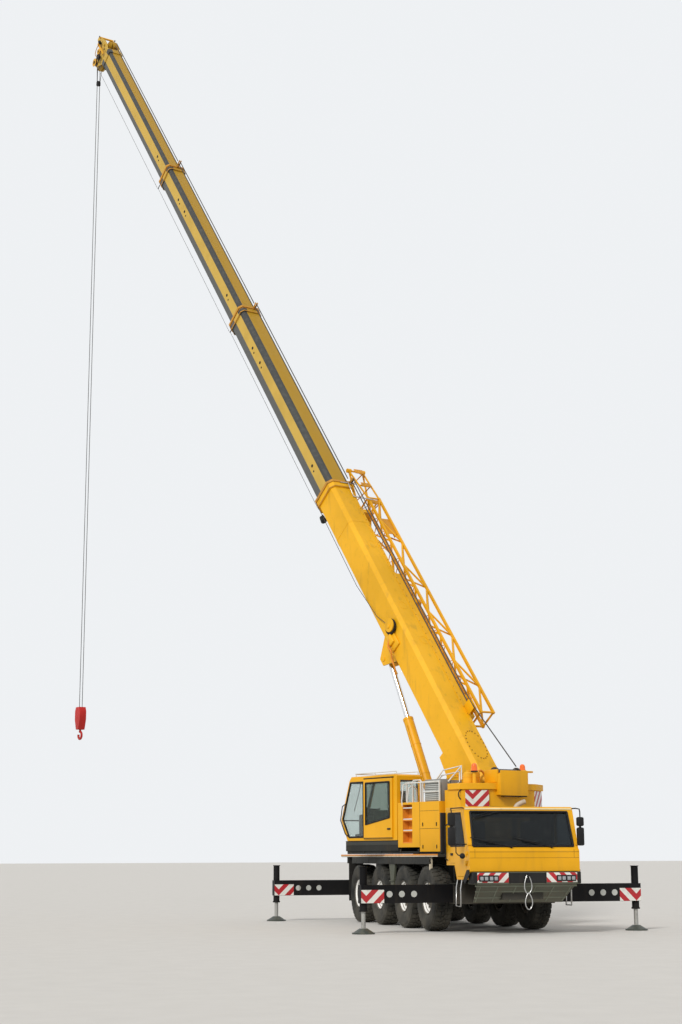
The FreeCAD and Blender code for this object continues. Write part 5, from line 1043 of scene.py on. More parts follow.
for side, sign in (("left", 1), ("right", -1)):
    low, high = sorted((sign * 0.42, sign * 1.10))
    bm = bmesh.new()
    slab(bm, (FRONT - 0.004, low, 1.055), (FRONT + 0.006, high, 1.25), 0.002)
    bands = chevron("bumper_bands_" + side, CARRIER, (0, -sign, 0), (0, 0, 1), None, 0.24, phase=0.1)
    piece("bumper_plate_" + side, bm, CARRIER, "chassis", bands)
    bm = bmesh.new()
    lamp_low, lamp_high = sorted((sign * 0.64, sign * 1.07))
    slab(bm, (FRONT + 0.002, lamp_low, 1.075), (FRONT + 0.018, lamp_high, 1.20), 0.006)
    end_low, end_high = sorted((sign * 1.105, sign * 1.19))
    slab(bm, (5.20, end_low, 1.03), (FRONT + 0.004, end_high, 1.262), 0.012)
    arch = sign * 1.222
    plate(bm, [(5.35, arch, 1.31), (5.22, arch, 1.31), (4.98, arch, 1.10), (5.08, arch, 1.03), (5.35, arch, 1.20)], Vector((0, sign * 0.012, 0)))
    piece("lamp_housing_" + side, bm, CARRIER, "chassis", trim_black)
    bm = bmesh.new()
    for across in (0.70, 0.80, 0.91, 1.01):
        slab(bm, (FRONT + 0.016, sign * across - 0.036, 1.10), (FRONT + 0.024, sign * across + 0.036, 1.175), 0.010)
    piece("headlamps_" + side, bm, CARRIER, "chassis", lens_clear)
    out = sign * 1.235
    stirrup = [(4.58, sign * 1.19, 1.15), (4.58, out, 0.95), (4.56, out, 0.57), (4.84, out, 0.57), (4.84, out, 0.92), (4.83, sign * 1.19, 1.13)]
    wire("corner_step_" + side, stirrup, 0.016, CARRIER, "chassis", bright_steel)
    ladder = [(4.30, sign * 1.18, 1.38), (4.30, sign * 1.18, 1.08), (4.30, sign * 1.02, 1.08), (4.30, sign * 1.02, 1.38)]
    wire("cab_step_" + side, ladder, 0.014, CARRIER, "chassis", underbody_black)
bm = bmesh.new()
for height, reach, thick in ((0.985, 1.12, 0.018), (0.87, 1.06, 0.010), (0.745, 1.02, 0.014)):
    middle = skirt_x(height)
    slab(bm, (middle - 0.02, -reach, height - thick), (middle + 0.014, reach, height + thick), 0.004)
for across in (-1.0, -0.62, -0.22, 0.22, 0.62, 1.0):
    bar(bm, (skirt_x(0.98), across, 0.98), (skirt_x(0.665), across * 0.96, 0.665), 0.013, sides=8)
# The ribs take the lighter olive, as painted highlight.
piece("bumper_ribs", bm, CARRIER, "chassis", rib_olive_highlight)
bm = bmesh.new()
slab(bm, (FRONT - 0.004, -0.41, 1.045), (FRONT + 0.003, 0.41, 1.245))
for across in (-0.40, 0.39):
    slab(bm, (FRONT, across, 1.03), (FRONT + 0.012, across + 0.012, 1.255), 0.002)
bar(bm, (FRONT, 0, 1.19), (FRONT + 0.035, 0, 1.19), 0.03, sides=16)
piece("bumper_recess_back", bm, CARRIER, "chassis", trim_black)
sling = [(5.50, -0.02, 1.20), (5.512, -0.085, 1.08), (5.515, -0.095, 0.92), (5.512, -0.02, 0.80), (5.515, 0.075, 0.90), (5.512, 0.07, 1.08), (5.50, 0.01, 1.20)]
wire("towing_sling_upper", sling, 0.012, CARRIER, "chassis", bright_steel, smooth=True)
sling = [(5.515, -0.01, 0.84), (5.52, -0.08, 0.74), (5.52, -0.08, 0.58), (5.515, 0.0, 0.49), (5.52, 0.08, 0.59), (5.52, 0.07, 0.75), (5.515, 0.01, 0.84)]
wire("towing_sling_lower", sling, 0.011, CARRIER, "chassis", bright_steel, smooth=True)

# %% [markdown]
# The deck's edge is a folded lip, orange above a pale line. Grey skirts hang below it,
# and a post, a mudflap and a folding ladder show between the wheels.

# %% Deck edge, ladder and mudguards
DECK_TOP, DECK_HALF = 1.63, 1.33
for side, sign in (("left", 1), ("right", -1)):
    for name, low, high, material in (
        ("edge_upper_", 1.602, 1.634, edge_orange),
        ("edge_lower_", 1.576, 1.600, edge_pale),
    ):
        bm = bmesh.new()
        inside, outside = sorted((sign * (DECK_HALF - 0.01), sign * (DECK_HALF + 0.012)))
        slab(bm, (-3.89, inside, low), (3.68, outside, high), 0.004)
        piece(name + side, bm, CARRIER, "chassis", material)
    bm = bmesh.new()
    for along in (-2.55, -1.5, 0.35, 2.1):
        inside, outside = sorted((sign * (DECK_HALF - 0.004), sign * (DECK_HALF + 0.008)))
        slab(bm, (along - 0.012, inside, 1.42), (along + 0.012, outside, 1.57))
    piece("skirt_ribs_" + side, bm, CARRIER, "chassis", deck_grey, bevel=0.003)
    bm = bmesh.new()
    out = sign * 1.30
    plate(bm, [(0.10, out, 1.42), (0.55, out, 1.42), (0.44, out, 1.02), (0.40, out, 0.66), (0.25, out, 0.66), (0.21, out, 1.02)], Vector((0, -sign * 0.05, 0)))
    for height in (0.70, 0.86, 1.02):
        slab(bm, (0.20, out - 0.03, height), (0.45, out + 0.03, height + 0.02))
    piece("folding_ladder_" + side, bm, CARRIER, "chassis", bumper_olive, bevel=0.004)
    bm = bmesh.new()
    flap_low, flap_high = sorted((sign * 0.95, sign * 1.33))
    slab(bm, (-3.20, flap_low, 0.50), (-3.19, flap_high, 1.57))
    piece("rear_flap_" + side, bm, CARRIER, "chassis", hose_rubber)
    bm = bmesh.new()
    post_low, post_high = sorted((sign * 1.27, sign * 1.33))
    slab(bm, (3.10, post_low, 0.90), (3.17, post_high, 1.58), 0.006)
    piece("front_post_" + side, bm, CARRIER, "chassis", edge_pale)

# %% [markdown]
# Each outrigger beam ends in a folded warning plate, and three round reflectors follow it.
# A plate and its reflectors stand on the beam's front face, and another on its back face.

# %% Outrigger dressing
BEAM_LOW, BEAM_HIGH = 0.625, 1.0
for name in ("front_right", "front_left", "rear_right", "rear_left"):
    node = "outrigger_beam_" + name
    low, high = span(node, CARRIER)
    sign = 1 if "left" in name else -1
    end = sign * 3.13
    body = "beam_" + name
    centre = (low.x + high.x) / 2
    for facing, face_x in (("front", centre + 0.12), ("back", centre - 0.12)):
        out = 1 if facing == "front" else -1
        bm = bmesh.new()
        inside, outside = sorted((end - sign * 0.50, end - sign * 0.002))
        near, far = sorted((face_x - out * 0.002, face_x + out * 0.0025))
        slab(bm, (near, inside, BEAM_LOW + 0.005), (far, outside, BEAM_HIGH - 0.10))
        bands = chevron(f"beam_bands_{name}_{facing}", CARRIER, (0, -sign, 0), (0, 0, 1), -sign * 0 - 3.02, 0.30, phase=0.1)
        piece(f"beam_plate_{name}_{facing}", bm, CARRIER, body, bands)
        bm = bmesh.new()
        for step in range(3):
            spot = end - sign * (0.62 + 0.27 * step)
            bar(bm, (face_x - out * 0.002, spot, 0.81), (face_x + out * 0.0025, spot, 0.81), 0.066, sides=24)
        piece(f"beam_discs_{name}_{facing}", bm, CARRIER, body, reflector_grey)
    bm = bmesh.new()
    bar(bm, (centre, end - sign * 0.08, 0.455), (centre, end - sign * 0.08, 0.49), 0.092, sides=28)
    bar(bm, (centre, end - sign * 0.08, 1.36), (centre, end - sign * 0.08, 1.375), 0.092, sides=28)
    piece("jack_collar_" + name, bm, CARRIER, body, outrigger_black, bevel=0.004)

# %% [markdown]
# The superstructure's tail shows most in the photograph: ballast with warning plates on
# its slanted corners, a plain plate on the winch box, beacons, a canister and a bent
# exhaust. Names on the real machine are left off, so those plates stay bare.

# %% Tail plates and beacons
TAIL_REAR, TAIL_FLAT, TAIL_CORNER, TAIL_SIDE = -2.67, 0.69, -2.35, 1.18
corner_out = Vector((-(TAIL_SIDE - TAIL_FLAT), TAIL_CORNER - TAIL_REAR, 0)).normalized()
for side, sign in (("left", 1), ("right", -1)):
    one = Vector((TAIL_REAR, sign * TAIL_FLAT, 0))
    two = Vector((TAIL_CORNER, sign * TAIL_SIDE, 0))
    run = (two - one).normalized()
    out = Vector((-abs(run.y), sign * abs(run.x), 0))
    middle = (one + two) / 2 - run * (0.075 if side == "left" else 0.0)
    bm = bmesh.new()
    half = 0.265 if side == "left" else 0.285
    base = middle + out * 0.001
    low, high = Vector((0, 0, 2.672)), Vector((0, 0, 3.035))
    outline = [base - run * half + low, base + run * half + low, base + run * half + high, base - run * half + high]
    plate(bm, outline, out * 0.008)
    place = UPPER @ Matrix.Translation(middle)
    fold = 0.10 if side == "left" else None
    bands = chevron("tail_bands_" + side, place, run, (0, 0, 1), fold, 0.25, phase=0.3)
    piece("tail_plate_" + side, bm, UPPER, "superstructure", bands)
bm = bmesh.new()
slab(bm, (-2.832, -0.385, 2.915), (-2.8205, 0.42, 3.475), 0.004)
slab(bm, (-2.8205, 0.381, 2.925), (-2.50, 0.42, 3.40), 0.008)
slab(bm, (-2.73, 0.381, 3.20), (-2.27, 0.44, 3.50), 0.02)
slab(bm, (-2.73, -0.44, 3.20), (-2.27, -0.381, 3.50), 0.02)
slab(bm, (-2.50, -0.82, 3.455), (-2.42, -0.43, 3.495), 0.006)
piece("winch_box_plate", bm, UPPER, "superstructure", body_yellow)
# The first strip is painted shadow under the winch box's overhang. The second is a dark line along the ballast's rear
# face.
bm = bmesh.new()
slab(bm, (-2.815, -0.36, 2.893), (-2.70, 0.30, 2.921))
slab(bm, (-2.69, -0.66, 2.66), (-2.664, 0.66, 2.675))
piece("tail_gaps_and_shadow", bm, UPPER, "superstructure", trim_black)
for name, spot, height in (("left", (-2.36, 0.79, 3.19), 0.39), ("right", (-2.42, -0.57, 3.19), 0.40)):
    spot = Vector(spot)
    bm = bmesh.new()
    bar(bm, spot, spot + Vector((0, 0, height - 0.14)), 0.045, sides=20)
    piece("beacon_post_" + name, bm, UPPER, "superstructure", canister_yellow)
    bm = bmesh.new()
    bar(bm, spot + Vector((0, 0, height - 0.14)), spot + Vector((0, 0, height - 0.11)), 0.080, sides=24)
    piece("beacon_foot_" + name, bm, UPPER, "superstructure", trim_black)
    bm = bmesh.new()
    bar(bm, spot + Vector((0, 0, height - 0.11)), spot + Vector((0, 0, height)), 0.075, sides=24, tip=0.062)
    dome = Matrix.Translation(spot + Vector((0, 0, height)))
    bmesh.ops.create_uvsphere(bm, u_segments=24, v_segments=12, radius=0.062, matrix=dome)
    piece("beacon_" + name, bm, UPPER, "superstructure", lens_orange)
bm = bmesh.new()
for along, across, radius, top in ((-2.15, 0.80, 0.125, 3.41), (-2.13, 0.555, 0.085, 3.45)):
    bar(bm, (along, across, 3.185), (along, across, top), radius, sides=28)
    bar(bm, (along, across, top), (along, across, top + 0.04), radius, sides=28, tip=radius * 0.62)
    bar(bm, (along, across, top + 0.04), (along, across, top + 0.07), radius * 0.4, sides=16)
    for height in (3.22, 3.33):
        bar(bm, (along, across, height), (along, across, height + 0.02), radius + 0.006, sides=28)
piece("air_cleaners", bm, UPPER, "superstructure", canister_yellow, bevel=0.004)
elbow = [(-2.12, 0.52, 3.45), (-2.10, 0.42, 3.52), (-2.10, 0.30, 3.44), (-2.12, 0.24, 3.30), (-2.14, 0.16, 3.20)]
wire("tail_hose", elbow, 0.026, UPPER, "superstructure", edge_orange, smooth=True)
handle = [(-2.36, 1.172, 3.04), (-2.35, 1.24, 3.01), (-2.35, 1.25, 2.88), (-2.36, 1.19, 2.83)]
wire("tail_handle", handle, 0.013, UPPER, "superstructure", trim_black, smooth=True)
intake = [(3.80, 0.40, 1.30), (3.80, 0.40, 2.45), (3.80, 0.42, 2.60), (3.80, 0.50, 2.70), (3.80, 0.66, 2.75)]
wire("intake_pipe", intake, 0.052, CARRIER, "chassis", intake_beige, smooth=True)
bm = bmesh.new()
bar(bm, (3.80, 0.40, 1.28), (3.80, 0.40, 1.36), 0.075, sides=24)
slab(bm, (3.69, 0.30, 1.26), (3.92, 0.50, 1.29), 0.004)
piece("intake_foot", bm, CARRIER, "chassis", underbody_black)
# A dark band in the gap under the operator's platform and the cabinets: dark machinery, with painted shade under the
# platform.
bm = bmesh.new()
slab(bm, (-0.105, 0.58, 1.642), (2.04, 1.27, 1.712))
slab(bm, (-1.70, 0.58, 1.642), (-0.112, 1.27, 1.70))
for along in (-1.55, -0.9, -0.2, 0.6, 1.3):
    slab(bm, (along, 1.268, 1.645), (along + 0.05, 1.284, 1.75), 0.004)
piece("slew_gap_machinery_and_shade", bm, UPPER, "superstructure", underbody_black)
print("tail dressed")

# Painted shade: a black strip stands for the shadowed gap behind the driver's cab.
bm = bmesh.new()
slab(bm, (3.86, -1.33, 1.66), (3.935, -1.215, 2.50), 0.01)
piece("cab_rear_gap_shade", bm, CARRIER, "chassis", trim_black)

# %% [markdown]
# Behind the operator's cab a ladder rises between two cabinets to a railed platform,
# with the cooler's louvres beside it. Rails are bent tube, so each is one curve.

# %% Cabinets, ladder, rails and louvres
bm = bmesh.new()
for height in (2.165, 2.42, 2.675):
    slab(bm, (-0.66, SIDE - 0.17, height - 0.004), (-0.31, SIDE - 0.004, height + 0.022), 0.005)
piece("ladder_treads", bm, UPPER, "superstructure", rail_white)
bm = bmesh.new()
slab(bm, (-0.668, SIDE - 0.178, 1.885), (-0.302, SIDE - 0.172, 2.755))
piece("ladder_back", bm, UPPER, "superstructure", edge_orange)
bm = bmesh.new()
for along in (-0.965,):
    slab(bm, (along - 0.004, SIDE - 0.004, 1.82), (along + 0.004, SIDE + 0.002, 2.80))
slab(bm, (-1.70, SIDE - 0.004, 2.20), (-0.97, SIDE + 0.002, 2.207))
slab(bm, (-1.70, SIDE - 0.004, 2.60), (-0.97, SIDE + 0.002, 2.606))
for along in (-1.60, -1.08):
    slab(bm, (along - 0.012, SIDE - 0.004, 1.76), (along + 0.012, SIDE + 0.012, 1.84), 0.003)
    slab(bm, (along - 0.012, SIDE - 0.004, 2.26), (along + 0.012, SIDE + 0.012, 2.34), 0.003)
piece("cabinet_gaps", bm, UPPER, "superstructure", trim_black)
RAILS = [
    ("rail_front", [(-0.62, 1.24, 2.81), (-0.62, 1.24, 3.27), (-0.66, 1.24, 3.31), (-0.92, 1.24, 3.31), (-0.96, 1.24, 3.27), (-0.96, 1.24, 2.81)]),
    ("rail_middle", [(-1.02, 1.24, 2.81), (-1.02, 1.24, 3.21), (-1.06, 1.24, 3.25), (-1.62, 1.24, 3.25), (-1.66, 1.24, 3.21), (-1.66, 1.24, 2.81)]),
    ("rail_waist", [(-1.02, 1.24, 3.03), (-1.66, 1.24, 3.03)]),
    ("rail_inner", [(-1.02, 0.70, 2.81), (-1.02, 0.70, 3.21), (-1.06, 0.70, 3.25), (-1.62, 0.70, 3.25), (-1.66, 0.70, 3.21), (-1.66, 0.70, 2.81)]),
    ("ladder_hoop_front", [(-0.28, 1.28, 2.70), (-0.28, 1.31, 2.85), (-0.28, 1.26, 3.22), (-0.28, 1.10, 3.28), (-0.28, 0.98, 3.20), (-0.28, 0.96, 2.81)]),
    ("ladder_hoop_rear", [(-0.50, 1.28, 2.78), (-0.50, 1.31, 2.85), (-0.50, 1.26, 3.14), (-0.50, 1.14, 3.20), (-0.50, 1.04, 3.12), (-0.50, 1.02, 2.81)]),
    ("high_rail_one", [(-0.72, 0.66, 3.28), (-0.90, 0.56, 3.55), (-1.60, 0.56, 3.62), (-1.72, 0.66, 3.30)]),
    ("high_rail_low", [(-0.74, 0.70, 3.22), (-0.92, 0.60, 3.43), (-1.58, 0.60, 3.49), (-1.70, 0.70, 3.24)]),
    ("high_rail_two", [(-0.90, 0.56, 3.55), (-1.10, 0.95, 3.28)]),
    ("high_rail_three", [(-1.60, 0.56, 3.62), (-1.66, 1.0, 3.25)]),
]
for name, points in RAILS:
    wire(name, points, 0.016, UPPER, "superstructure", rail_white)
bm = bmesh.new()
for row in range(11):
    height = 2.84 + row * 0.042
    slab(bm, (-1.64, 1.205, height), (-1.06, 1.222, height + 0.020))
piece("cooler_louvres", bm, UPPER, "superstructure", reflector_grey)
bm = bmesh.new()
slab(bm, (-1.65, 1.00, 2.812), (-1.05, 1.206, 3.31), 0.01)
piece("cooler_case", bm, UPPER, "superstructure", housing_grey)
bm = bmesh.new()
slab(bm, (-0.10, 1.296, 1.845), (2.05, 1.306, 1.935), 0.004)
slab(bm, (-0.10, 0.60, 1.944), (2.05, 1.318, 1.952), 0.003)
piece("cab_sill_plate", bm, UPPER, "superstructure", deck_grey)
bm = bmesh.new()
for along in (0.35, 1.65):
    slab(bm, (along - 0.10, 1.20, 1.70), (along + 0.10, 1.26, 1.85), 0.01)
piece("platform_brackets", bm, UPPER, "superstructure", underbody_black)

# %% [markdown]
# The operator's cab is almost all window. Rubber seals edge each pane, a guard rail
# runs round the roof, and a wiper crosses the front glass.

# %% Operator's cab details
OUTER = 1.31
bm = bmesh.new()
side_window = [(1.29, 2.04), (1.29, 3.34), (1.83, 3.34), (2.165, 2.47), (1.90, 2.04)]
for index in range(len(side_window)):
    one, two = side_window[index], side_window[(index + 1) % len(side_window)]
    bar(bm, (one[0], OUTER + 0.001, one[1]), (two[0], OUTER + 0.001, two[1]), 0.020, sides=8)
for ahead, height in ((1.935, 2.04), (2.262, 2.45), (1.905, 3.34)):
    bar(bm, (ahead, 0.62, height), (ahead, 1.25, height), 0.016, sides=8)
piece("operator_window_seals", bm, UPPER, "superstructure", trim_black)
bm = bmesh.new()
door_window = [(0.15, 2.48), (0.15, 3.31), (1.14, 3.31), (1.14, 2.33)]
for index in range(4):
    one, two = door_window[index], door_window[(index + 1) % 4]
    bar(bm, (one[0], 1.352, one[1]), (two[0], 1.352, two[1]), 0.018, sides=8)
slab(bm, (0.12, 1.346, 2.20), (0.24, 1.372, 2.235), 0.006)
slab(bm, (0.06, 1.3395, 2.005), (1.23, 1.3525, 2.02))
piece("operator_door_seals", bm, UPPER, "operator_door", trim_black)
bm = bmesh.new()
slab(bm, (1.235, 1.309, 1.99), (1.262, 1.322, 3.41), 0.003)
slab(bm, (0.03, 1.309, 3.405), (1.262, 1.326, 3.43), 0.003)
piece("door_runner", bm, UPPER, "superstructure", trim_black)
guard = [(0.0, 0.62, 3.48), (0.0, 0.62, 3.55), (1.70, 0.62, 3.55), (1.76, 0.68, 3.55), (1.76, 1.20, 3.55), (1.70, 1.25, 3.55), (0.0, 1.25, 3.55), (0.0, 1.25, 3.48)]
wire("roof_guard", guard, 0.014, UPPER, "superstructure", rail_white)
for name, along in (("middle", 0.88), ("front", 1.68)):
    wire("roof_guard_post_" + name, [(along, 1.25, 3.47), (along, 1.25, 3.55)], 0.012, UPPER, "superstructure", rail_white)
wiper = [(1.945, 0.93, 3.33), (2.03, 0.93, 3.10), (2.20, 0.96, 2.66)]
wire("front_wiper", wiper, 0.009, UPPER, "superstructure", trim_black)
grab = [(1.94, 1.312, 2.06), (1.98, 1.375, 2.12), (2.18, 1.375, 2.45), (2.10, 1.375, 2.78), (2.06, 1.312, 2.84)]
wire("cab_side_rail", grab, 0.012, UPPER, "superstructure", trim_black)

# %% [markdown]
# The boom's base section is one long folded box. Its looks come from small things: the
# collar round its mouth, stiffeners, hoses, a hose reel on its flank and a work lamp.

# %% Boom dressing


def ring_outline(number, grow):
    """The eight corners of boom section n, grown on every side."""
    less = number * SECTION_STEP - grow
    half = BOOM_WIDTH / 2 - less
    top = BOOM_AXIS + BOOM_DEPTH / 2 - less
    low = BOOM_AXIS - BOOM_DEPTH / 2 + less
    bevel = BOOM_BEVEL - (2 - math.sqrt(2)) * less
    chine = BOOM_CHINE - (2 - math.sqrt(2)) * less
    right = [(half - chine, low), (half, low + chine), (half, top - bevel), (half - bevel, top)]
    return right + [(-across, up) for across, up in reversed(right)]


def hoop(bm, number, inner, outer, start, end):
    """A ring round a boom section, between two offsets and two places."""
    rings = []
    for along, grow in ((start, inner), (start, outer), (end, outer), (end, inner)):
        rings.append([bm.verts.new((along, across, up)) for across, up in ring_outline(number, grow)])
    for index in range(4):
        one, two = rings[index], rings[(index + 1) % 4]
        for corner in range(8):
            after = (corner + 1) % 8
            bm.faces.new((one[corner], one[after], two[after], two[corner]))


for number, body in ((0, "boom"), (1, "boom_one"), (2, "boom_two")):
    tip = BASE_TIP + number * PITCH
    bm = bmesh.new()
    hoop(bm, number, 0.0325, 0.060, tip - 0.075, tip - 0.002)
    hoop(bm, number, 0.0325, 0.045, tip - COLLAR, tip - COLLAR + 0.03)
    piece(f"collar_{number}", bm, BOOM, body, collar_rust, bevel=0.004)
bm = bmesh.new()
hoop(bm, 0, 0.0005, 0.006, 8.2, 8.25)
slab(bm, (1.2, -0.20, 0.858), (8.9, -0.185, 0.869))
for along, across in ((7.35, 0.02), (5.1, 0.04), (3.9, -0.06)):
    lathe(bm, [(0.118, 0.858), (0.130, 0.858), (0.130, 0.866), (0.118, 0.866)], (along, across, 0), (0, 0, 1), steps=28)
piece("base_bands", bm, BOOM, "boom", boom_yellow)
bm = bmesh.new()
for step in range(22):
    angle = math.tau * step / 22
    spot = (0.52 + 0.42 * math.cos(angle), 0.24 * math.sin(angle), 0.858)
    bar(bm, spot, (spot[0], spot[1], 0.872), 0.016, sides=6)
for step in range(34):
    along = 1.5 + step * 0.22
    bar(bm, (along, -0.225, 0.858), (along, -0.225, 0.868), 0.011, sides=6)
piece("boom_bolts", bm, BOOM, "boom", seam_brown)
REEL = Vector((4.66, 0.36, 0.50))
bm = bmesh.new()
bar(bm, REEL + Vector((0, 0.03, 0)), REEL + Vector((0, 0.085, 0)), 0.20, sides=40)
piece("reel_flange", bm, BOOM, "boom", trim_black, bevel=0.004)
bm = bmesh.new()
bar(bm, REEL + Vector((0.02, 0.08, 0.02)), REEL + Vector((0.02, 0.12, 0.02)), 0.172, sides=36)
bar(bm, REEL + Vector((0, 0, 0)), REEL + Vector((0, 0.14, 0)), 0.045, sides=20)
slab(bm, REEL + Vector((-0.55, -0.005, -0.36)), REEL + Vector((-0.10, 0.045, -0.02)), 0.01)
slab(bm, REEL + Vector((-0.40, 0, -0.30)), REEL + Vector((-0.14, 0.10, -0.10)), 0.02)
piece("reel_cover", bm, BOOM, "boom", boom_yellow, bevel=0.006)
hose = [(4.42, 0.44, 0.30), (4.30, 0.49, 0.14), (4.10, 0.48, 0.22), (3.98, 0.45, 0.05), (3.72, 0.43, 0.02), (3.60, 0.38, -0.12)]
wire("flank_hose_one", hose, 0.022, BOOM, "boom", edge_orange, smooth=True)
hose = [(4.36, 0.42, 0.24), (4.18, 0.47, 0.10), (3.98, 0.44, 0.16), (3.85, 0.42, -0.02), (3.58, 0.38, -0.06)]
wire("flank_hose_two", hose, 0.018, BOOM, "boom", collar_rust, smooth=True)
bm = bmesh.new()
bar(bm, (9.42, 0.24, -0.055), (9.42, 0.16, -0.19), 0.022, sides=12)
bar(bm, (9.33, 0.16, -0.20), (9.50, 0.16, -0.20), 0.085, sides=24, tip=0.07)
piece("work_lamp", bm, BOOM, "boom", trim_black, bevel=0.004)
for number, body in ((1, "boom_one"), (2, "boom_two"), (3, "boom_three")):
    half = BOOM_WIDTH / 2 - number * SECTION_STEP
    start = BASE_TIP + (number - 1) * PITCH
    bm = bmesh.new()
    for along in (1.0, 5.6, 6.3):
        if number < 3 or along < 2:
            spot = start + along
            bar(bm, (spot, half - 0.002, 0.50), (spot, half + 0.006, 0.50), 0.045, sides=20)
            bar(bm, (spot - 0.18, half - 0.002, 0.46), (spot - 0.18, half + 0.004, 0.46), 0.030, sides=16)
    piece(f"port_covers_{number}", bm, BOOM, body, trim_black)

# %% [markdown]
# Two ropes run from the drum over the boom's back to the head, and a thin cable runs from
# the reel along its underside. On the real machine they lengthen as the boom telescopes,
# so each section carries its own run, a little to one side of its neighbour's.

# %% Ropes and cable along the boom
ROPE_SIDE = {0: -0.28, 1: -0.12, 2: -0.04, 3: 0.04}
CABLE_UP, CABLE_SIDE = -0.10, 0.22
for number, body in ((0, "boom"), (1, "boom_one"), (2, "boom_two"), (3, "boom_three")):
    start = 1.6 if number == 0 else BASE_TIP + (number - 1) * PITCH - 0.06
    end = BASE_TIP + number * PITCH - 0.06
    across = ROPE_SIDE[number]
    rope_up = 0.957 if number else 0.985
    bm = bmesh.new()
    for lift in (0.0, 0.095):
        bar(bm, (start, across, rope_up + lift), (end, across, rope_up + lift), 0.014, sides=8)
    piece(f"boom_rope_{number}", bm, BOOM, body, rope_steel)
    bm = bmesh.new()
    beside = CABLE_SIDE + 0.03 * number
    if number:
        bar(bm, (start, beside, CABLE_UP), (end, beside, CABLE_UP), 0.006, sides=6)
    else:
        run = [(4.80, 0.43, 0.44), (5.3, 0.40, 0.22), (6.6, 0.36, 0.02), (end, beside, CABLE_UP)]
        for one, two in zip(run, run[1:]):
            bar(bm, one, two, 0.008, sides=6)
    under = BOOM_AXIS - BOOM_DEPTH / 2 + number * SECTION_STEP
    bar(bm, (end - 0.01, beside, under + 0.01), (end - 0.01, beside, CABLE_UP - 0.02), 0.014, sides=8)
    piece(f"boom_cable_{number}", bm, BOOM, body, rope_steel)
    if number < 3:
        bm = bmesh.new()
        tip = BASE_TIP + number * PITCH
        top = BOOM_AXIS + BOOM_DEPTH / 2 - number * SECTION_STEP
        for side in (-0.035, 0.025):
            slab(bm, (tip - 0.10, across + side, top), (tip - 0.03, across + side + 0.01, 1.09), 0.003)
        bar(bm, (tip - 0.065, across - 0.03, rope_up - 0.032), (tip - 0.065, across + 0.03, rope_up - 0.032), 0.018, sides=16)
        piece(f"rope_guide_{number}", bm, BOOM, body, collar_rust)
bm = bmesh.new()
lead_start, lead_end = Vector((-0.60, -0.24, 1.42)), Vector((1.62, -0.28, 1.08))
bar(bm, lead_start, lead_end, 0.014, sides=8)
lead = piece("rope_lead", bm, BOOM, None, rope_steel)
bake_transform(lead)
bm = bmesh.new()
for side in (-0.05, 0.038):
    slab(bm, (1.45, side - 0.28, 0.858), (1.75, side - 0.268, 1.11), 0.004)
bar(bm, (1.60, -0.316, 0.955), (1.60, -0.244, 0.955), 0.09, sides=28)
piece("rope_roller", bm, BOOM, "boom", boom_yellow)

# %% [markdown]
# The boom head is a nest of small parts: the sheave pins with their covers, a cross tube
# between the horns, a junction box with its hoses, and the limit switch's weight, which
# hangs round the hoist rope on two thin chains.

# %% Boom head and limit weight
head = BOOM.inverted() @ HEAD_PIN
TIP = BASE_TIP + 3 * PITCH
bm = bmesh.new()
for side in (-1, 1):
    bar(bm, (head.x, side * 0.298, head.z), (head.x, side * 0.316, head.z), 0.15, sides=32)
    bar(bm, (TIP + 0.55, side * 0.298, 0.30), (TIP + 0.55, side * 0.312, 0.30), 0.11, sides=28)
    slab(bm, (TIP + 0.10, side * 0.306 - 0.012, 0.42), (TIP + 0.85, side * 0.306 + 0.012, 0.50), 0.006)
bar(bm, (TIP + 0.98, -0.27, 0.66), (TIP + 0.98, 0.27, 0.66), 0.035, sides=16)
piece("head_covers", bm, BOOM, "boom_three", canister_yellow, bevel=0.004)
bm = bmesh.new()
for side in (-1, 1):
    bar(bm, (head.x, side * 0.312, head.z), (head.x, side * 0.328, head.z), 0.055, sides=20)
    bar(bm, (TIP + 0.55, side * 0.308, 0.30), (TIP + 0.55, side * 0.322, 0.30), 0.04, sides=16)
    for along, up in ((0.30, -0.12), (0.42, 0.10), (0.78, 0.52), (0.95, 0.70), (0.16, 0.62)):
        bar(bm, (TIP + along, side * 0.296, up), (TIP + along, side * 0.318, up), 0.03, sides=12)
slab(bm, (TIP + 0.18, 0.30, 0.14), (TIP + 0.36, 0.37, 0.30), 0.01)
bar(bm, (TIP + 0.62, 0.33, 0.60), (TIP + 0.74, 0.33, 0.60), 0.055, sides=20)
piece("head_fittings", bm, BOOM, "boom_three", trim_black)
hose = [(TIP + 0.20, 0.34, 0.22), (TIP + 0.02, 0.38, 0.10), (TIP + 0.12, 0.36, -0.10), (TIP + 0.34, 0.33, -0.02), (TIP + 0.50, 0.33, 0.20)]
wire("head_hose", hose, 0.016, BOOM, "boom_three", hose_rubber, smooth=True)
hose = [(TIP + 0.36, 0.34, 0.20), (TIP + 0.55, 0.36, 0.05), (TIP + 0.75, 0.34, 0.30), (TIP + 0.70, 0.33, 0.56)]
wire("head_cable", hose, 0.012, BOOM, "boom_three", collar_rust, smooth=True)
bm = bmesh.new()
bar(bm, (0.261, 0, 29.47), (0.261, 0, 29.59), 0.078, sides=24)
bar(bm, (0.261, 0, 29.59), (0.261, 0, 29.63), 0.078, sides=24, tip=0.05)
for side in (-1, 1):
    bar(bm, (0.261, side * 0.06, 29.60), (0.20, side * 0.10, 30.16), 0.009, sides=6)
piece("limit_weight", bm, HANG, "rope", trim_black)
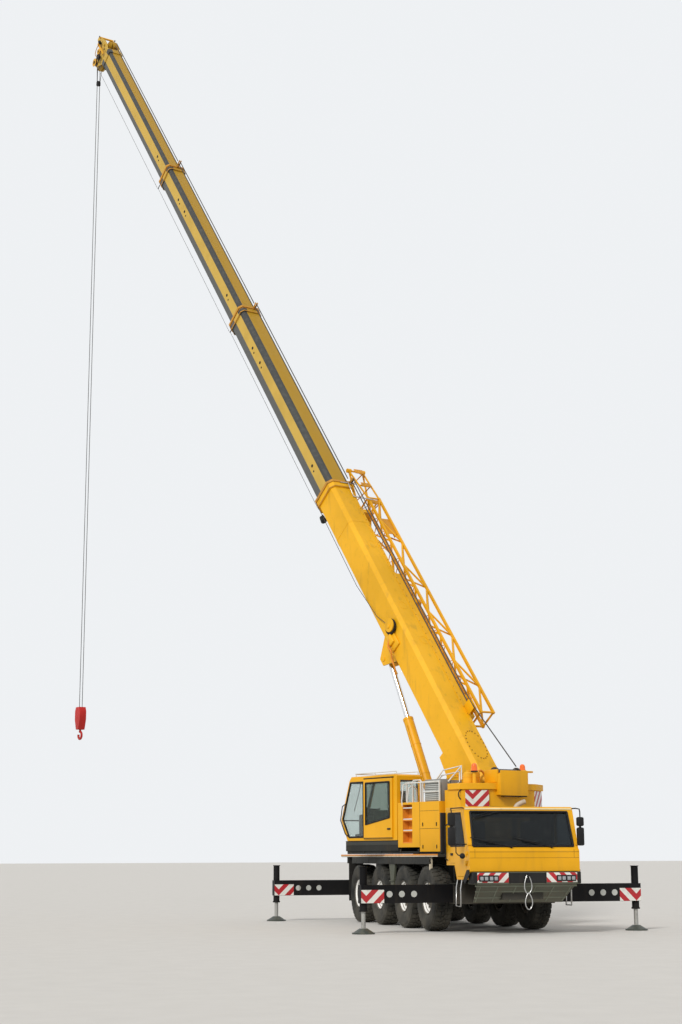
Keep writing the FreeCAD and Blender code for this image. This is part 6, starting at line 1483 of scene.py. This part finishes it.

# %% [markdown]
# The rope's falls shorten as the hook goes up and lengthen as it goes down. Here they
# are one fixed piece between the hook block and the boom's head.

# %% Hoist rope
HOOK_TOP, FALLS_TOP = Vector((0.261, 0, 6.6)), Vector((0.261, 0, 30.194))
bm = bmesh.new()
for side in (-1, 1):
    beside = Vector((0, side * 0.05, 0))
    bar(bm, HOOK_TOP + beside, FALLS_TOP + beside, 0.011, sides=12)
falls = piece("hoist_falls", bm, HANG, None, rope_steel, replaces=["hoist_rope"])
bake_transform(falls)

# %% [markdown]
# The folded jib carries more than its lattice: a closing plate near its head, brackets
# that hold it to the boom, and a bent tube of bright steel beside the base's mouth.

# %% Jib dressing
bm = bmesh.new()
slab(bm, (7.85, -1.04, 0.855), (8.45, -0.69, 0.868), 0.004)
slab(bm, (7.90, -1.052, 0.70), (8.40, -1.04, 0.868), 0.004)
for along in (9.05, 9.75, 10.3):
    slab(bm, (along, -1.0, 0.84), (along + 0.16, -0.72, 0.862), 0.006)
    bar(bm, (along + 0.08, -1.04, 0.85), (along - 0.10, -0.72, 0.40), 0.016, sides=8)
for step in range(14):
    along = 2.0 + step * 0.52
    bar(bm, (along, -0.69, 0.40), (along + 0.26, -0.69, 0.84), 0.011, sides=6)
    bar(bm, (along + 0.26, -0.69, 0.84), (along + 0.52, -0.69, 0.40), 0.011, sides=6)
piece("jib_plates", bm, BOOM, "boom", jib_orange)
wire("collar_rail", [(9.72, 0.06, 0.911), (9.72, -0.44, 0.911)], 0.017, BOOM, "boom", bright_steel)
rail = [(9.70, -0.20, 0.911), (9.22, -0.18, 0.882), (9.18, -0.34, 0.90), (9.12, -0.76, 0.935)]
wire("collar_rail_lower", rail, 0.017, BOOM, "boom", bright_steel)

# %% [markdown]
# The luffing cylinder keeps its CAD shape, with three bands round its barrel and one pipe.

# %% Cylinder dressing
barrel_low, barrel_high = span("luff_barrel", CYLINDER)
barrel_end = barrel_high.x
wire("cylinder_pipe", [(0.35, 0.13, 0.05), (0.5, 0.155, 0.05), (barrel_end - 0.35, 0.155, 0.05), (barrel_end - 0.22, 0.13, 0.04)], 0.014, CYLINDER, "cylinder_barrel", cylinder_yellow)
bm = bmesh.new()
for along in (0.9, 1.7, 2.5):
    lathe(bm, [(0.1245, along), (0.131, along), (0.131, along + 0.022), (0.1245, along + 0.022)], (0, 0, 0), (1, 0, 0), steps=36)
piece("cylinder_bands", bm, CYLINDER, "cylinder_barrel", cylinder_yellow)
